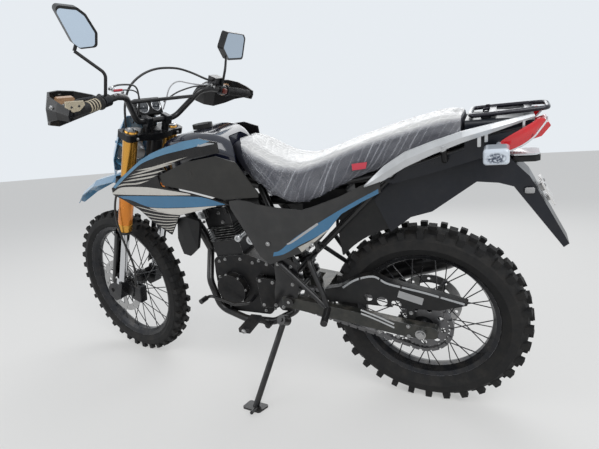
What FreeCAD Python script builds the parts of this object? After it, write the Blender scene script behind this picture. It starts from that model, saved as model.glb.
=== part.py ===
# Dual sport motorcycle, standing on its side stand. Millimetres and degrees.
#
# The machine is modelled upright in the bike frame: origin on the ground under the rear axle, +X to
# the front wheel, +Y to the rider's left, +Z up. The fork frame has its origin at the front axle,
# +Z up along the fork and +X across it to the front. Placements then turn the steering, lean the
# machine onto its stand and put the origin at the middle of the box it fills on the ground.
import FreeCAD, Part
import math
import os
from types import SimpleNamespace
import Sketcher
from FreeCAD import Vector, Rotation, Placement

# Driving sizes: name, value, what it measures
SIZES = (
    ("wheelbase", 1360, "rear axle to front axle"),
    ("rake", 24.5, "steering axis from upright"),
    ("axle_lead", 58, "front axle ahead of the steering axis"),
    ("leg_lead", 35, "front axle ahead of the fork legs"),
    ("leg_spread", 96, "fork leg to the middle plane"),
    ("lean", 12.4, "lean onto the side stand"),
    ("steer", -10, "steering as parked, left is positive"),
    ("middle_ahead", 650, "rear axle to the middle of the whole box, along"),
    ("middle_left", 254, "rear tyre to the middle of the whole box, across"),
    ("front_tip", 346, "front tyre, radius over the lugs"),
    ("front_half", 41, "front tyre, half width"),
    ("front_bead", 266.7, "front rim, bead radius"),
    ("front_lugs", 36, "front tyre, lugs in one row"),
    ("rear_tip", 331, "rear tyre, radius over the lugs"),
    ("rear_half", 58, "rear tyre, half width"),
    ("rear_bead", 228.5, "rear rim, bead radius"),
    ("rear_lugs", 32, "rear tyre, lugs in one row"),
    ("lug_height", 12, "tread block height"),
    ("flange_height", 8, "rim flange above the bead"),
    ("rim_depth", 17, "rim well below the bead"),
    ("front_rim_half", 25, "front rim, half width"),
    ("rear_rim_half", 34, "rear rim, half width"),
    ("front_hub_radius", 24, "front hub barrel"),
    ("front_flange_radius", 36, "front hub spoke flange"),
    ("rear_hub_radius", 34, "rear hub barrel"),
    ("rear_flange_radius", 52, "rear hub spoke flange"),
    ("front_hub_half", 52, "front hub, half width"),
    ("rear_hub_half", 60, "rear hub, half width"),
    ("spoke_radius", 2, "spoke wire"),
    ("spoke_count", 36, "spokes in one wheel"),
    ("front_axle_radius", 9, "front axle"),
    ("rear_axle_radius", 9, "rear axle"),
    ("shaft_gap", 0.1, "radial clearance of a shaft"),
    ("seat_gap", 0.3, "clearance of a piece at its seat"),
    ("front_disc_radius", 125, "front brake disc"),
    ("rear_disc_radius", 110, "rear brake disc"),
    ("disc_thickness", 4, "brake disc plates"),
    ("front_disc_side", 62, "front disc, middle plane offset"),
    ("rear_disc_side", 72, "rear disc, middle plane offset to the right"),
    ("tube_radius", 27, "fork outer tube"),
    ("slider_radius", 21, "fork inner tube"),
    ("tube_end", 345, "fork outer tube, lower end above the axle"),
    ("tube_top", 785, "fork outer tube, upper end above the axle"),
    ("lower_clamp", 560, "lower clamp underside above the axle"),
    ("upper_clamp", 755, "upper clamp underside above the axle"),
    ("clamp_height", 26, "fork clamp thickness"),
    ("stem_radius", 15, "steering stem"),
    ("head_radius", 29, "head tube of the frame"),
    ("bar_radius", 11, "handlebar tube"),
    ("bar_half", 400, "handlebar, half width"),
    ("chain_side", 76, "chain line, offset to the left"),
    ("chain_pitch", 15.875, "chain pitch"),
    ("sprocket_teeth", 36, "rear sprocket teeth"),
    ("drive_teeth", 13, "drive sprocket teeth"),
    ("drive_ahead", 528, "drive sprocket ahead of the rear axle"),
    ("drive_up", 408, "drive sprocket above the ground"),
    ("pivot_ahead", 462, "swingarm pivot ahead of the rear axle"),
    ("pivot_up", 402, "swingarm pivot above the ground"),
    ("arm_inner", 92, "swingarm arm, inner face"),
    ("arm_outer", 120, "swingarm arm, outer face"),
    ("cradle_side", 86, "frame cradle tube, offset"),
    ("frame_radius", 14, "frame tube"),
    ("stand_ahead", 487, "side stand pivot ahead of the rear axle"),
    ("stand_side", 140, "side stand pivot, offset to the left"),
    ("stand_up", 330, "side stand pivot above the ground"),
    ("foot_ahead", 565, "side stand foot on the ground, ahead"),
    ("foot_left", 321, "side stand foot on the ground, to the left"),
    ("stand_radius", 11, "side stand leg"),
    ("plate_half", 92, "number plate, half width"),
    ("plate_bolts", 60, "number plate bolt spacing, half"),
    ("rack_bolts", 42, "rear rack bolt circle radius"),
)


class Size(float):
    """A number that carries the sheet expression it comes from, so that features can be bound to it."""

    def __new__(cls, value, text):
        made = float.__new__(cls, value)
        made.text = text
        return made

    def __add__(self, other):
        return Size(float(self) + float(other), "(%s + %s)" % (self.text, text_of(other)))

    def __radd__(self, other):
        return Size(float(other) + float(self), "(%s + %s)" % (text_of(other), self.text))

    def __sub__(self, other):
        return Size(float(self) - float(other), "(%s - %s)" % (self.text, text_of(other)))

    def __rsub__(self, other):
        return Size(float(other) - float(self), "(%s - %s)" % (text_of(other), self.text))

    def __mul__(self, other):
        return Size(float(self) * float(other), "(%s * %s)" % (self.text, text_of(other)))

    def __rmul__(self, other):
        return Size(float(other) * float(self), "(%s * %s)" % (text_of(other), self.text))

    def __truediv__(self, other):
        return Size(float(self) / float(other), "(%s / %s)" % (self.text, text_of(other)))

    def __neg__(self):
        return Size(-float(self), "(0 - %s)" % self.text)


def text_of(number):
    return number.text if isinstance(number, Size) else "%.6f" % number


doc = FreeCAD.newDocument("dual_sport_motorcycle")
sheet = doc.addObject("Spreadsheet::Sheet", "Sizes")
S = SimpleNamespace()
for row, (alias, value, meaning) in enumerate(SIZES, start=1):
    sheet.set("A%d" % row, meaning)
    sheet.set("B%d" % row, str(value))
    sheet.setAlias("B%d" % row, alias)
    setattr(S, alias, Size(value, "Sizes." + alias))
doc.recompute()

# Directions and placements

UP, LEFT, AHEAD = Vector(0, 0, 1), Vector(0, 1, 0), Vector(1, 0, 0)
RAKE = math.radians(S.rake)
FORK_UP = Vector(-math.sin(RAKE), 0, math.cos(RAKE))
FRONT_AXLE = Vector(S.wheelbase, 0, S.front_tip)
REAR_AXLE = Vector(0, 0, S.rear_tip)
STEERING_POINT = FRONT_AXLE - Vector(math.cos(RAKE), 0, math.sin(RAKE)) * S.axle_lead
AXLE_TURN = Rotation(AHEAD, -90)


def turned_about(point, axis, degrees):
    return Placement(Vector(), Rotation(axis, degrees), point)


FORK_UPRIGHT = Placement(FRONT_AXLE, Rotation(LEFT, -S.rake))
STEER = turned_about(STEERING_POINT, FORK_UP, float(S.steer))


# Lug corners across the tyre: drop below the tip and offset, both as shares of the half width
MIDDLE_CORNER = (0.0, 0.26)
SHOULDER_INNER = (0.04, 0.46)
SHOULDER_OUTER = (0.10, 0.86)
MIDDLE_LENGTH, SHOULDER_LENGTH = 2.15, 1.75


def tread_rings(tip, half):
    """Circles on which the lug corners run: radius and offset from the wheel's middle plane."""
    long = 0.5 * S.lug_height
    return [(math.hypot(tip - drop * half, long * length), offset * half)
            for (drop, offset), length in ((MIDDLE_CORNER, MIDDLE_LENGTH),
                                           (SHOULDER_INNER, SHOULDER_LENGTH),
                                           (SHOULDER_OUTER, SHOULDER_LENGTH))]


def lowest(place, tip, half):
    """Height of the lowest lug tip of a wheel whose axle lies along the placement's Z axis."""
    axis = place.Rotation.multVec(UP)
    fall = math.sqrt(1 - axis.z ** 2)
    return min(place.Base.z + side * offset * axis.z - radius * fall
               for radius, offset in tread_rings(tip, half) for side in (-1, 1))


def on_ground():
    """Placement that leans the bike frame and pitches and lifts it until both tyres touch the ground."""
    pitch, lift = 0.0, 0.0
    for _ in range(4):
        middle = Vector(-S.middle_ahead, -S.middle_left, lift)
        place = Placement(middle, Rotation(AHEAD, -float(S.lean)).multiply(Rotation(LEFT, pitch)))
        rear = lowest(place.multiply(Placement(REAR_AXLE, AXLE_TURN)), S.rear_tip, S.rear_half)
        front_place = place.multiply(STEER).multiply(Placement(FRONT_AXLE, AXLE_TURN))
        front = lowest(front_place, S.front_tip, S.front_half)
        pitch += math.degrees((front - rear) / S.wheelbase)
        lift -= rear
    return place


BIKE = on_ground()
FORK = BIKE.multiply(STEER).multiply(FORK_UPRIGHT)


def wheel_place(carrier, centre):
    """Wheel frame: Z along the axle to the left, X to the lowest point of the tyre."""
    place = carrier.multiply(Placement(centre, AXLE_TURN))
    down = place.Rotation.inverted().multVec(-UP)
    return place.multiply(Placement(Vector(), Rotation(UP, math.degrees(math.atan2(down.y, down.x)))))


FRONT_WHEEL = wheel_place(BIKE.multiply(STEER), FRONT_AXLE)
REAR_WHEEL = wheel_place(BIKE, REAR_AXLE)

# Features bound to the sheet

NODES = {}


def keep(made, body, place):
    """Registers a finished sub-part under its label and puts it in its place."""
    made.Placement = place.multiply(made.Placement)
    NODES[made.Label] = (made, body)
    return made


def feature(label, shape, body, place):
    made = doc.addObject("Part::Feature", "Node_" + label)
    made.Label = label
    made.Shape = shape
    return keep(made, body, place)


def bind(made, name, number):
    setattr(made, name, float(number))
    if isinstance(number, Size):
        made.setExpression(name, number.text)


def new_body(label):
    body = doc.addObject("PartDesign::Body", "Body_" + label)
    body.Label = label
    return body


def sketch(body, name, plane, loops, circles=(), turn=0.0):
    """Closed loops of corners, each corner bound to its sizes; turn is about the sketch's own Y axis."""
    made = body.newObject("Sketcher::SketchObject", name)
    support = [part for part in body.Origin.OriginFeatures if part.Role == plane][0]
    made.AttachmentSupport = [(support, "")]
    made.MapMode = "FlatFace"
    made.AttachmentOffset = Placement(Vector(), Rotation(LEFT, turn))
    for corners in loops:
        first = made.GeometryCount
        count = len(corners)
        for index in range(count):
            start, end = corners[index], corners[(index + 1) % count]
            made.addGeometry(Part.LineSegment(Vector(start[0], start[1], 0), Vector(end[0], end[1], 0)))
        for index in range(count):
            after = first + (index + 1) % count
            made.addConstraint(Sketcher.Constraint("Coincident", first + index, 2, after, 1))
            for kind, number in zip(("DistanceX", "DistanceY"), corners[index]):
                tie(made, Sketcher.Constraint(kind, -1, 1, first + index, 1, float(number)), number)
    for across, up, radius in circles:
        index = made.addGeometry(Part.Circle(Vector(across, up, 0), UP, float(radius)))
        tie(made, Sketcher.Constraint("Radius", index, float(radius)), radius)
        for kind, number in (("DistanceX", across), ("DistanceY", up)):
            tie(made, Sketcher.Constraint(kind, -1, 1, index, 3, float(number)), number)
    return made


def tie(made, constraint, number):
    place = made.addConstraint(constraint)
    if isinstance(number, Size):
        made.setExpression("Constraints[%d]" % place, number.text)


def revolve(body, name, loops):
    profile = sketch(body, name + "_profile", "XZ_Plane", loops)
    made = body.newObject("PartDesign::Revolution", name)
    made.Profile = profile
    made.ReferenceAxis = (profile, ["V_Axis"])
    made.Angle = 360
    return made


def pad(body, name, plane, length, loops=(), circles=(), turn=0.0, middle=True):
    made = body.newObject("PartDesign::Pad", name)
    made.Profile = sketch(body, name + "_outline", plane, loops, circles, turn)
    bind(made, "Length", length)
    made.Midplane = middle
    return made


def pocket(body, name, plane, length, loops=(), circles=(), turn=0.0):
    made = body.newObject("PartDesign::Pocket", name)
    made.Profile = sketch(body, name + "_outline", plane, loops, circles, turn)
    bind(made, "Length", length)
    made.Midplane = True
    return made


def polar(body, name, original, count):
    """Copies a feature round the body's Z axis."""
    made = body.newObject("PartDesign::PolarPattern", name)
    made.Originals = [original]
    made.Axis = ([part for part in body.Origin.OriginFeatures if part.Role == "Z_Axis"][0], [""])
    made.Angle = 360
    made.Occurrences = int(count)
    if isinstance(count, Size):
        made.setExpression("Occurrences", count.text)
    body.Tip = made
    return made


# Shapes worked out with Part's own functions

def corner_route(points, bends):
    """Wire of straight runs joined by tangent arcs; each inner point has its own bend radius."""
    edges, start = [], points[0]
    for index in range(1, len(points) - 1):
        before, here, after = points[index - 1], points[index], points[index + 1]
        inward, outward = (here - before).normalize(), (after - here).normalize()
        half_turn = inward.getAngle(outward) / 2
        room = 0.48 * min((here - before).Length, (after - here).Length)
        reach = min(bends[index - 1] * math.tan(half_turn), room)
        if half_turn < 0.01:
            continue
        radius = reach / math.tan(half_turn)
        entry, leave = here - inward * reach, here + outward * reach
        towards = (outward - inward).normalize()
        centre = here + towards * (radius / math.cos(half_turn))
        middle = centre - towards * radius
        if (entry - start).Length > 1e-4:
            edges.append(Part.LineSegment(start, entry).toShape())
        edges.append(Part.Arc(entry, middle, leave).toShape())
        start = leave
    if (points[-1] - start).Length > 1e-4:
        edges.append(Part.LineSegment(start, points[-1]).toShape())
    return Part.Wire(edges)


def tube(points, radius, bend=40.0):
    """Round bar along a route."""
    points = [Vector(*point) for point in points]
    bends = bend if isinstance(bend, (list, tuple)) else [bend] * (len(points) - 2)
    path = corner_route(points, bends)
    start = Part.Wire([Part.makeCircle(radius, points[0], points[1] - points[0])])
    return path.makePipeShell([start], True, False)


def rod(start, end, radius):
    start, end = Vector(*start), Vector(*end)
    return Part.makeCylinder(radius, (end - start).Length, start, end - start)


def spindle(profile, start, direction=UP):
    """Turned piece: profile lists (distance along, radius), closed to the axis at both ends."""
    corners = [Vector(0, 0, profile[0][0])]
    corners += [Vector(radius, 0, along) for along, radius in profile]
    corners += [Vector(0, 0, profile[-1][0]), corners[0]]
    face = Part.Face(Part.makePolygon(corners))
    turned = face.revolve(Vector(), UP, 360)
    turned.Placement = Placement(Vector(*start), Rotation(UP, Vector(*direction)))
    return turned


def flat(points, low, high, bend=0.0):
    """Plate in the bike's side plane: an outline of (x, z) corners between two offsets across."""
    return upright_prism([Vector(x, low, z) for x, z in points], Vector(0, high - low, 0), bend)


def upright_prism(corners, sweep, bend=0.0):
    """Prism over a closed outline whose corners are rounded by tangent arcs."""
    if bend <= 0:
        wire = Part.makePolygon(corners + [corners[0]])
    else:
        first = (corners[0] + corners[-1]) * 0.5
        wire = corner_route([first] + list(corners) + [first], [bend] * len(corners))
    return Part.Face(wire).extrude(sweep)


def block(centre, size, turn=0.0, bend=0.0):
    """Box about a centre, turned about the axis that points left, with rounded upright edges."""
    made = Part.makeBox(size[0], size[1], size[2], Vector(-size[0] / 2, -size[1] / 2, -size[2] / 2))
    if bend > 0:
        made = made.makeFillet(bend, made.Edges)
    made.Placement = Placement(Vector(*centre), Rotation(LEFT, turn))
    return made


def rounded_section(x, half, low, high, bend):
    """Closed outline across the bike: a rectangle with rounded corners."""
    bend = min(bend, 0.45 * 2 * half, 0.45 * (high - low))
    corners = [Vector(x, -half, low), Vector(x, half, low), Vector(x, half, high), Vector(x, -half, high)]
    first = (corners[0] + corners[-1]) * 0.5
    return corner_route([first] + corners + [first], [bend] * 4)


def loft(sections, smooth=True):
    return Part.makeLoft([rounded_section(*section) for section in sections], True, not smooth)


def cover_shell(stations, thick, out=0.0):
    """Curved panel of even thickness, ruled between stations; each lists its corners top down."""
    wires = []
    for x, corners in stations:
        outer = [Vector(x, across + out, up) for across, up in corners]
        inner = [Vector(x, across - thick, up) for across, up in reversed(corners)]
        wires.append(Part.makePolygon(outer + inner + [outer[0]]))
    return Part.makeLoft(wires, True, True)


def curved_wall(stations, thick, bulge):
    """Upright blade along a route; stations list ahead, across, low, high; the outer face bulges."""
    wires = []
    for index, (x, y, low, high) in enumerate(stations):
        before, after = stations[max(index - 1, 0)], stations[min(index + 1, len(stations) - 1)]
        run = Vector(after[0] - before[0], after[1] - before[1], 0).normalize()
        out = Vector(-run.y, run.x, 0)
        place, middle = Vector(x, y, 0), (low + high) / 2
        profile = ((0, low), (bulge, middle), (0, high), (-thick, high), (-thick + bulge / 2, middle),
                   (-thick, low))
        corners = [place + out * across + UP * up for across, up in profile]
        wires.append(Part.makePolygon(corners + [corners[0]]))
    return Part.makeLoft(wires, True, True)


def mirrored(shape):
    return shape.mirror(Vector(), LEFT)


def both_sides(shape):
    return [shape, mirrored(shape)]


def fused(shapes):
    return shapes[0].multiFuse(shapes[1:]).removeSplitter()


def in_fork(x, y, z):
    """A point of the bike frame, given in the fork frame."""
    return FORK_UPRIGHT.multVec(Vector(x, y, z))


# Wheels

def tyre(label, body_name, place, tip, half, bead, rim_half, lugs):
    """Carcass revolved from its section, with a middle row and two shoulder rows of lugs."""
    crown = tip - S.lug_height
    lip = bead + S.flange_height
    body = new_body(label)
    right = [(bead + S.seat_gap, rim_half - 2.2), (lip + 0.8, rim_half - 0.4), (lip + 2, rim_half + 4),
             (bead + 0.42 * (crown - bead), half), (bead + 0.72 * (crown - bead), half * 0.93),
             (crown - 0.12 * half, half * 0.62), (crown, half * 0.2)]
    left = [(radius, -offset) for radius, offset in reversed(right)]
    revolve(body, "Carcass", [right + left])
    middle = [(crown - 5, -0.28 * half), (tip, -MIDDLE_CORNER[1] * half), (tip, MIDDLE_CORNER[1] * half),
              (crown - 5, 0.28 * half)]
    row = pad(body, "MiddleLug", "XZ_Plane", MIDDLE_LENGTH * S.lug_height, [middle],
              turn=180 / float(lugs))
    polar(body, "MiddleRow", row, lugs)
    outer = [(crown - 0.1 * half - 5, 0.44 * half),
             (tip - SHOULDER_INNER[0] * half, SHOULDER_INNER[1] * half),
             (tip - SHOULDER_OUTER[0] * half, SHOULDER_OUTER[1] * half),
             (crown - 0.34 * half, 0.84 * half)]
    other = [(radius, -offset) for radius, offset in reversed(outer)]
    row = pad(body, "ShoulderLug", "XZ_Plane", SHOULDER_LENGTH * S.lug_height, [outer, other])
    polar(body, "ShoulderRow", row, lugs)
    return keep(body, body_name, place)


def rim(label, body_name, place, bead, rim_half):
    """Drop-centre rim: two flanges, two bead seats and a well."""
    well = bead - S.rim_depth
    top = bead + S.flange_height
    outline = [(bead - 6, -rim_half + 3), (top, -rim_half - 4), (top, -rim_half - 0.5),
               (bead - 0.4, -rim_half + 1.5), (bead - 2, -rim_half + 10), (well + 5, -8), (well + 5, 8),
               (bead - 2, rim_half - 10), (bead - 0.4, rim_half - 1.5), (top, rim_half + 0.5),
               (top, rim_half + 4), (bead - 6, rim_half - 3), (well, 10), (well, -10)]
    body = new_body(label)
    revolve(body, "RimSection", [outline])
    return keep(body, body_name, place)


def spokes(flange_radius, flange_side, rim_radius, rim_side):
    """Crossed wire spokes, each a six-sided prism from a hub flange to the rim."""
    made = []
    count = int(S.spoke_count)
    for index in range(count):
        side = 1 if index % 2 else -1
        sweep = 62 if (index // 2) % 2 else -62
        outer_angle = math.radians(360 * index / count)
        inner_angle = outer_angle + math.radians(sweep)
        outer = Vector(rim_radius * math.cos(outer_angle), rim_radius * math.sin(outer_angle),
                       side * rim_side)
        inner = Vector(flange_radius * math.cos(inner_angle), flange_radius * math.sin(inner_angle),
                       side * flange_side)
        run = outer - inner
        wire = Part.makePolygon([Vector(S.spoke_radius * math.cos(math.radians(60 * corner)),
                                        S.spoke_radius * math.sin(math.radians(60 * corner)), 0)
                                 for corner in range(7)])
        wire.Placement = Placement(inner, Rotation(UP, run))
        made.append(Part.Face(wire).extrude(run))
    return made


def hub(label, body_name, place, barrel, flange, half, axle, well, spoke_side, ends):
    """Turned hub with two spoke flanges, a boss out to the disc or sprocket, and its laced spokes."""
    flange_side = half - 8
    profile = [(-ends[0], barrel + 10), (-half, barrel + 10), (-half, barrel - 2),
               (-flange_side - 3, barrel - 2), (-flange_side - 3, flange), (-flange_side + 3, flange),
               (-flange_side + 8, barrel), (flange_side - 8, barrel), (flange_side - 3, flange),
               (flange_side + 3, flange), (flange_side + 3, barrel - 2), (half, barrel - 2),
               (half, barrel + 10), (ends[1], barrel + 10)]
    bore = rod((0, 0, -ends[0] - 5), (0, 0, ends[1] + 5), axle + S.shaft_gap)
    turned = spindle(profile, (0, 0, 0))
    laced = spokes(flange - 5, flange_side, well - S.seat_gap - 0.6, spoke_side)
    return feature(label, fused([turned] + laced).cut(bore), body_name, place)


def disc(label, body_name, place, radius, side, hub_radius, spokes_count):
    """Brake disc: a drilled ring carried on a spider that bolts to the hub."""
    body = new_body(label)
    pad(body, "Ring", "XY_Plane", S.disc_thickness, circles=[(0, 0, radius), (0, 0, radius - 30)])
    arm = pad(body, "SpiderArm", "XY_Plane", S.disc_thickness,
              [[(hub_radius - 6, -9), (radius - 26, -13), (radius - 26, 13), (hub_radius - 6, 9)]])
    polar(body, "Spider", arm, spokes_count)
    pad(body, "Carrier", "XY_Plane", S.disc_thickness,
        circles=[(0, 0, hub_radius), (0, 0, hub_radius - 18)])
    hole = pocket(body, "Hole", "XY_Plane", 4 * S.disc_thickness, circles=[(radius - 15, 0, 5.5)])
    polar(body, "Holes", hole, 2 * spokes_count)
    return keep(body, body_name, place.multiply(Placement(UP * float(side), Rotation())))


def front_wheel():
    tyre("front_tyre", "front_wheel", FRONT_WHEEL, S.front_tip, S.front_half, S.front_bead,
         S.front_rim_half, S.front_lugs)
    rim("front_rim", "front_wheel", FRONT_WHEEL, S.front_bead, S.front_rim_half)
    disc_end = S.front_disc_side - S.disc_thickness / 2
    hub("front_hub", "front_wheel", FRONT_WHEEL, S.front_hub_radius, S.front_flange_radius,
        S.front_hub_half, S.front_axle_radius, S.front_bead - S.rim_depth, 7,
        (S.front_hub_half + 4, disc_end))
    disc("front_disc", "front_wheel", FRONT_WHEEL, S.front_disc_radius, S.front_disc_side, 44, 6)


def rear_wheel():
    tyre("rear_tyre", "rear_wheel", REAR_WHEEL, S.rear_tip, S.rear_half, S.rear_bead,
         S.rear_rim_half, S.rear_lugs)
    rim("rear_rim", "rear_wheel", REAR_WHEEL, S.rear_bead, S.rear_rim_half)
    hub("rear_hub", "rear_wheel", REAR_WHEEL, S.rear_hub_radius, S.rear_flange_radius,
        S.rear_hub_half, S.rear_axle_radius, S.rear_bead - S.rim_depth, 8,
        (S.rear_disc_side - S.disc_thickness / 2, S.chain_side - SPROCKET_THICKNESS / 2))
    disc("rear_disc", "rear_wheel", REAR_WHEEL, S.rear_disc_radius, -S.rear_disc_side, 56, 5)
    rear_sprocket()


def pitch_radius(teeth):
    return S.chain_pitch / (2 * math.sin(math.pi / teeth))


ROLLER = 5.0


# Sprocket plate
SPROCKET_THICKNESS = 6.0


def rear_sprocket():
    """Toothed ring with lightening holes; the tooth tips run just inside the chain's rollers."""
    tip = pitch_radius(S.sprocket_teeth) - ROLLER - 0.8
    root = tip - 5
    thick = SPROCKET_THICKNESS
    body = new_body("rear_sprocket")
    pad(body, "Plate", "XY_Plane", thick, circles=[(0, 0, root), (0, 0, S.rear_hub_radius + 2)])
    tooth = pad(body, "Tooth", "XY_Plane", thick, [[(root - 2, -5), (tip, -2), (tip, 2), (root - 2, 5)]])
    polar(body, "Teeth", tooth, S.sprocket_teeth)
    hole = pocket(body, "Window", "XY_Plane", 4 * thick, circles=[(root - 15, 0, 10)], turn=0)
    polar(body, "Windows", hole, 9)
    place = REAR_WHEEL.multiply(Placement(UP * float(S.chain_side), Rotation()))
    keep(body, "rear_wheel", place)


# Steered pieces, in the fork frame

LEG_X = -float(S.leg_lead)
AXIS_X = -float(S.axle_lead)


def clamp_plate(low):
    """Fork clamp: a waisted plate round both legs and the stem, seen along the steering axis."""
    spread, grip = float(S.leg_spread), float(S.tube_radius) + 9
    corners = [Vector(LEG_X + grip, -spread - grip, low), Vector(LEG_X + grip, -spread + grip, low),
               Vector(LEG_X + 8, -28, low), Vector(LEG_X + 8, 28, low),
               Vector(LEG_X + grip, spread - grip, low), Vector(LEG_X + grip, spread + grip, low),
               Vector(LEG_X - grip, spread + grip, low), Vector(LEG_X - grip, spread - grip * 0.6, low),
               Vector(AXIS_X - 26, 22, low), Vector(AXIS_X - 26, -22, low),
               Vector(LEG_X - grip, -spread + grip * 0.6, low), Vector(LEG_X - grip, -spread - grip, low)]
    plate = upright_prism(corners, UP * float(S.clamp_height), 14)
    for side in (-1, 1):
        bore = rod((LEG_X, side * spread, low - 1), (LEG_X, side * spread, low + S.clamp_height + 1),
                   S.tube_radius + 0.3)
        plate = plate.cut(bore)
    return plate


def triple_clamps():
    stem = rod((AXIS_X, 0, S.lower_clamp + 2), (AXIS_X, 0, S.upper_clamp + S.clamp_height + 8),
               S.stem_radius)
    nut = Part.makeCylinder(19, 9, Vector(AXIS_X, 0, S.upper_clamp + S.clamp_height))
    risers = []
    for side in (-1, 1):
        foot = (AXIS_X, side * 45, S.upper_clamp + S.clamp_height - 1)
        risers.append(rod(foot, (AXIS_X, side * 45, S.upper_clamp + 62), 14))
    parts = [clamp_plate(float(S.lower_clamp)), clamp_plate(float(S.upper_clamp)), stem, nut] + risers
    bar = rod((AXIS_X, -80, S.upper_clamp + 70), (AXIS_X, 80, S.upper_clamp + 70), S.bar_radius + 0.3)
    shape = fused(parts)
    caps = [block((AXIS_X, side * 45, S.upper_clamp + 70), (40, 26, 34), 0, 3) for side in (-1, 1)]
    shape = fused([shape] + caps).cut(bar)
    feature("triple_clamps", shape, "steering", FORK)


def fork_legs():
    top, end = float(S.tube_top), float(S.tube_end)
    outer = [(end, S.tube_radius - 1), (end + 4, S.tube_radius + 2), (end + 34, S.tube_radius + 2),
             (end + 40, S.tube_radius), (top - 12, S.tube_radius), (top, S.tube_radius - 6)]
    tubes = []
    for side in (-1, 1):
        shape = spindle(outer, (LEG_X, side * S.leg_spread, 0))
        hole = Part.makeCylinder(S.slider_radius + 0.3, 120, Vector(LEG_X, side * S.leg_spread, end - 1))
        tubes.append(shape.cut(hole))
    feature("fork_tubes", Part.makeCompound(tubes), "steering", FORK)
    legs = []
    for side in (-1, 1):
        legs.append(rod((LEG_X, side * S.leg_spread, 62), (LEG_X, side * S.leg_spread, end + 110),
                        S.slider_radius))
    feature("fork_legs", Part.makeCompound(legs), "steering", FORK)


def axle_lugs():
    """Cast fork feet that reach forward to the axle, with the axle through both."""
    feet = []
    for side in (-1, 1):
        inner = side * (S.leg_spread - 20)
        outer = side * (S.leg_spread + 20)
        low, high = min(inner, outer), max(inner, outer)
        foot = flat([(LEG_X - 26, 78), (LEG_X - 26, -10), (LEG_X + 4, -42), (16, -30), (26, 0), (16, 26),
                     (LEG_X + 26, 52), (LEG_X + 24, 78)], low, high, 12)
        feet.append(foot.cut(rod((LEG_X, side * S.leg_spread, 61.7), (LEG_X, side * S.leg_spread, 90),
                                 S.slider_radius + 0.3)))
    reach = S.leg_spread + 26
    axle = rod((0, -reach, 0), (0, reach, 0), S.front_axle_radius)
    ends = {-1: S.front_hub_half + 4, 1: S.front_disc_side - S.disc_thickness / 2}
    collars = [rod((0, side * (ends[side] + 0.5), 0), (0, side * (S.leg_spread - 19), 0), 14)
               for side in (-1, 1)]
    feature("axle_lugs", fused(feet + [axle] + collars), "steering", FORK)


# Upper end of the fork guards above the axle
GUARD_TOP = 336.0


def fork_guards():
    """Curved shields round the front and the outside of the lower legs."""
    guards = []
    for side in (-1, 1):
        centre = Vector(LEG_X, side * S.leg_spread, 79)
        height = GUARD_TOP - centre.z
        outer = Part.makeCylinder(S.tube_radius + 12, height, centre, UP, 130)
        inner = Part.makeCylinder(S.tube_radius + 9, height + 4, centre - UP * 2, UP, 360)
        shell = outer.cut(inner)
        shell = shell.rotate(centre, UP, -35 if side > 0 else -95)
        bands = []
        for level in (110, 300):
            inner_face = S.slider_radius + S.seat_gap
            band = Part.makeCylinder(S.tube_radius + 10, 12, Vector(centre.x, centre.y, level), UP, 130)
            band = band.cut(Part.makeCylinder(inner_face, 14, Vector(centre.x, centre.y, level - 1)))
            bands.append(band.rotate(centre, UP, -35 if side > 0 else -95))
        guards.append(fused([shell] + bands))
    feature("fork_guards", Part.makeCompound(guards), "steering", FORK)


# The handlebar's route in the fork frame, left half; the right half mirrors it: ahead, left, up
BAR_ROUTE = ((-58, 0, 825), (-58, 88, 825), (-92, 172, 938), (-106, 216, 948), (-150, 400, 930))


def handlebar():
    half = [Vector(*point) for point in BAR_ROUTE]
    half[-1].y = float(S.bar_half)
    half[0].z = half[1].z = float(S.upper_clamp) + 70
    whole = [Vector(p.x, -p.y, p.z) for p in reversed(half[1:])] + half[1:]
    bar = tube(whole, S.bar_radius, [40, 50, 50, 50, 50, 40])
    brace = half[1] + (half[2] - half[1]) * 0.8
    cross = rod((brace.x, -brace.y, brace.z), (brace.x, brace.y, brace.z), 6.5)
    feature("handlebar", fused([bar, cross]), "steering", FORK)


def grip_line(side, inner, outer):
    """Start and end of a piece on the bar's straight end, by distances from the bar's tip."""
    start, end = Vector(*BAR_ROUTE[3]), Vector(*BAR_ROUTE[4])
    end.y = float(S.bar_half)
    run = (start - end).normalize()
    first, last = end + run * inner, end + run * outer
    return Vector(first.x, side * first.y, first.z), Vector(last.x, side * last.y, last.z)


def grips():
    made = []
    for side in (-1, 1):
        end, start = grip_line(side, -4, 118)
        solid = rod(start, end, 16)
        solid = solid.fuse(rod(*(grip_line(side, 112, 120)[::-1]), 22))
        made.append(solid.cut(rod(*grip_line(side, -0.3, 130)[::-1], S.bar_radius + 0.2)))
    feature("grips", Part.makeCompound(made), "steering", FORK)


# Lever perch round the bar: radius, then its ends' distances from the bar's tip
PERCH_RADIUS = 19.0
PERCH_NEAR, PERCH_FAR = 123.0, 150.0


def perch_middle(side):
    near, far = grip_line(side, PERCH_NEAR, PERCH_FAR)
    return (near + far) * 0.5


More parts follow.
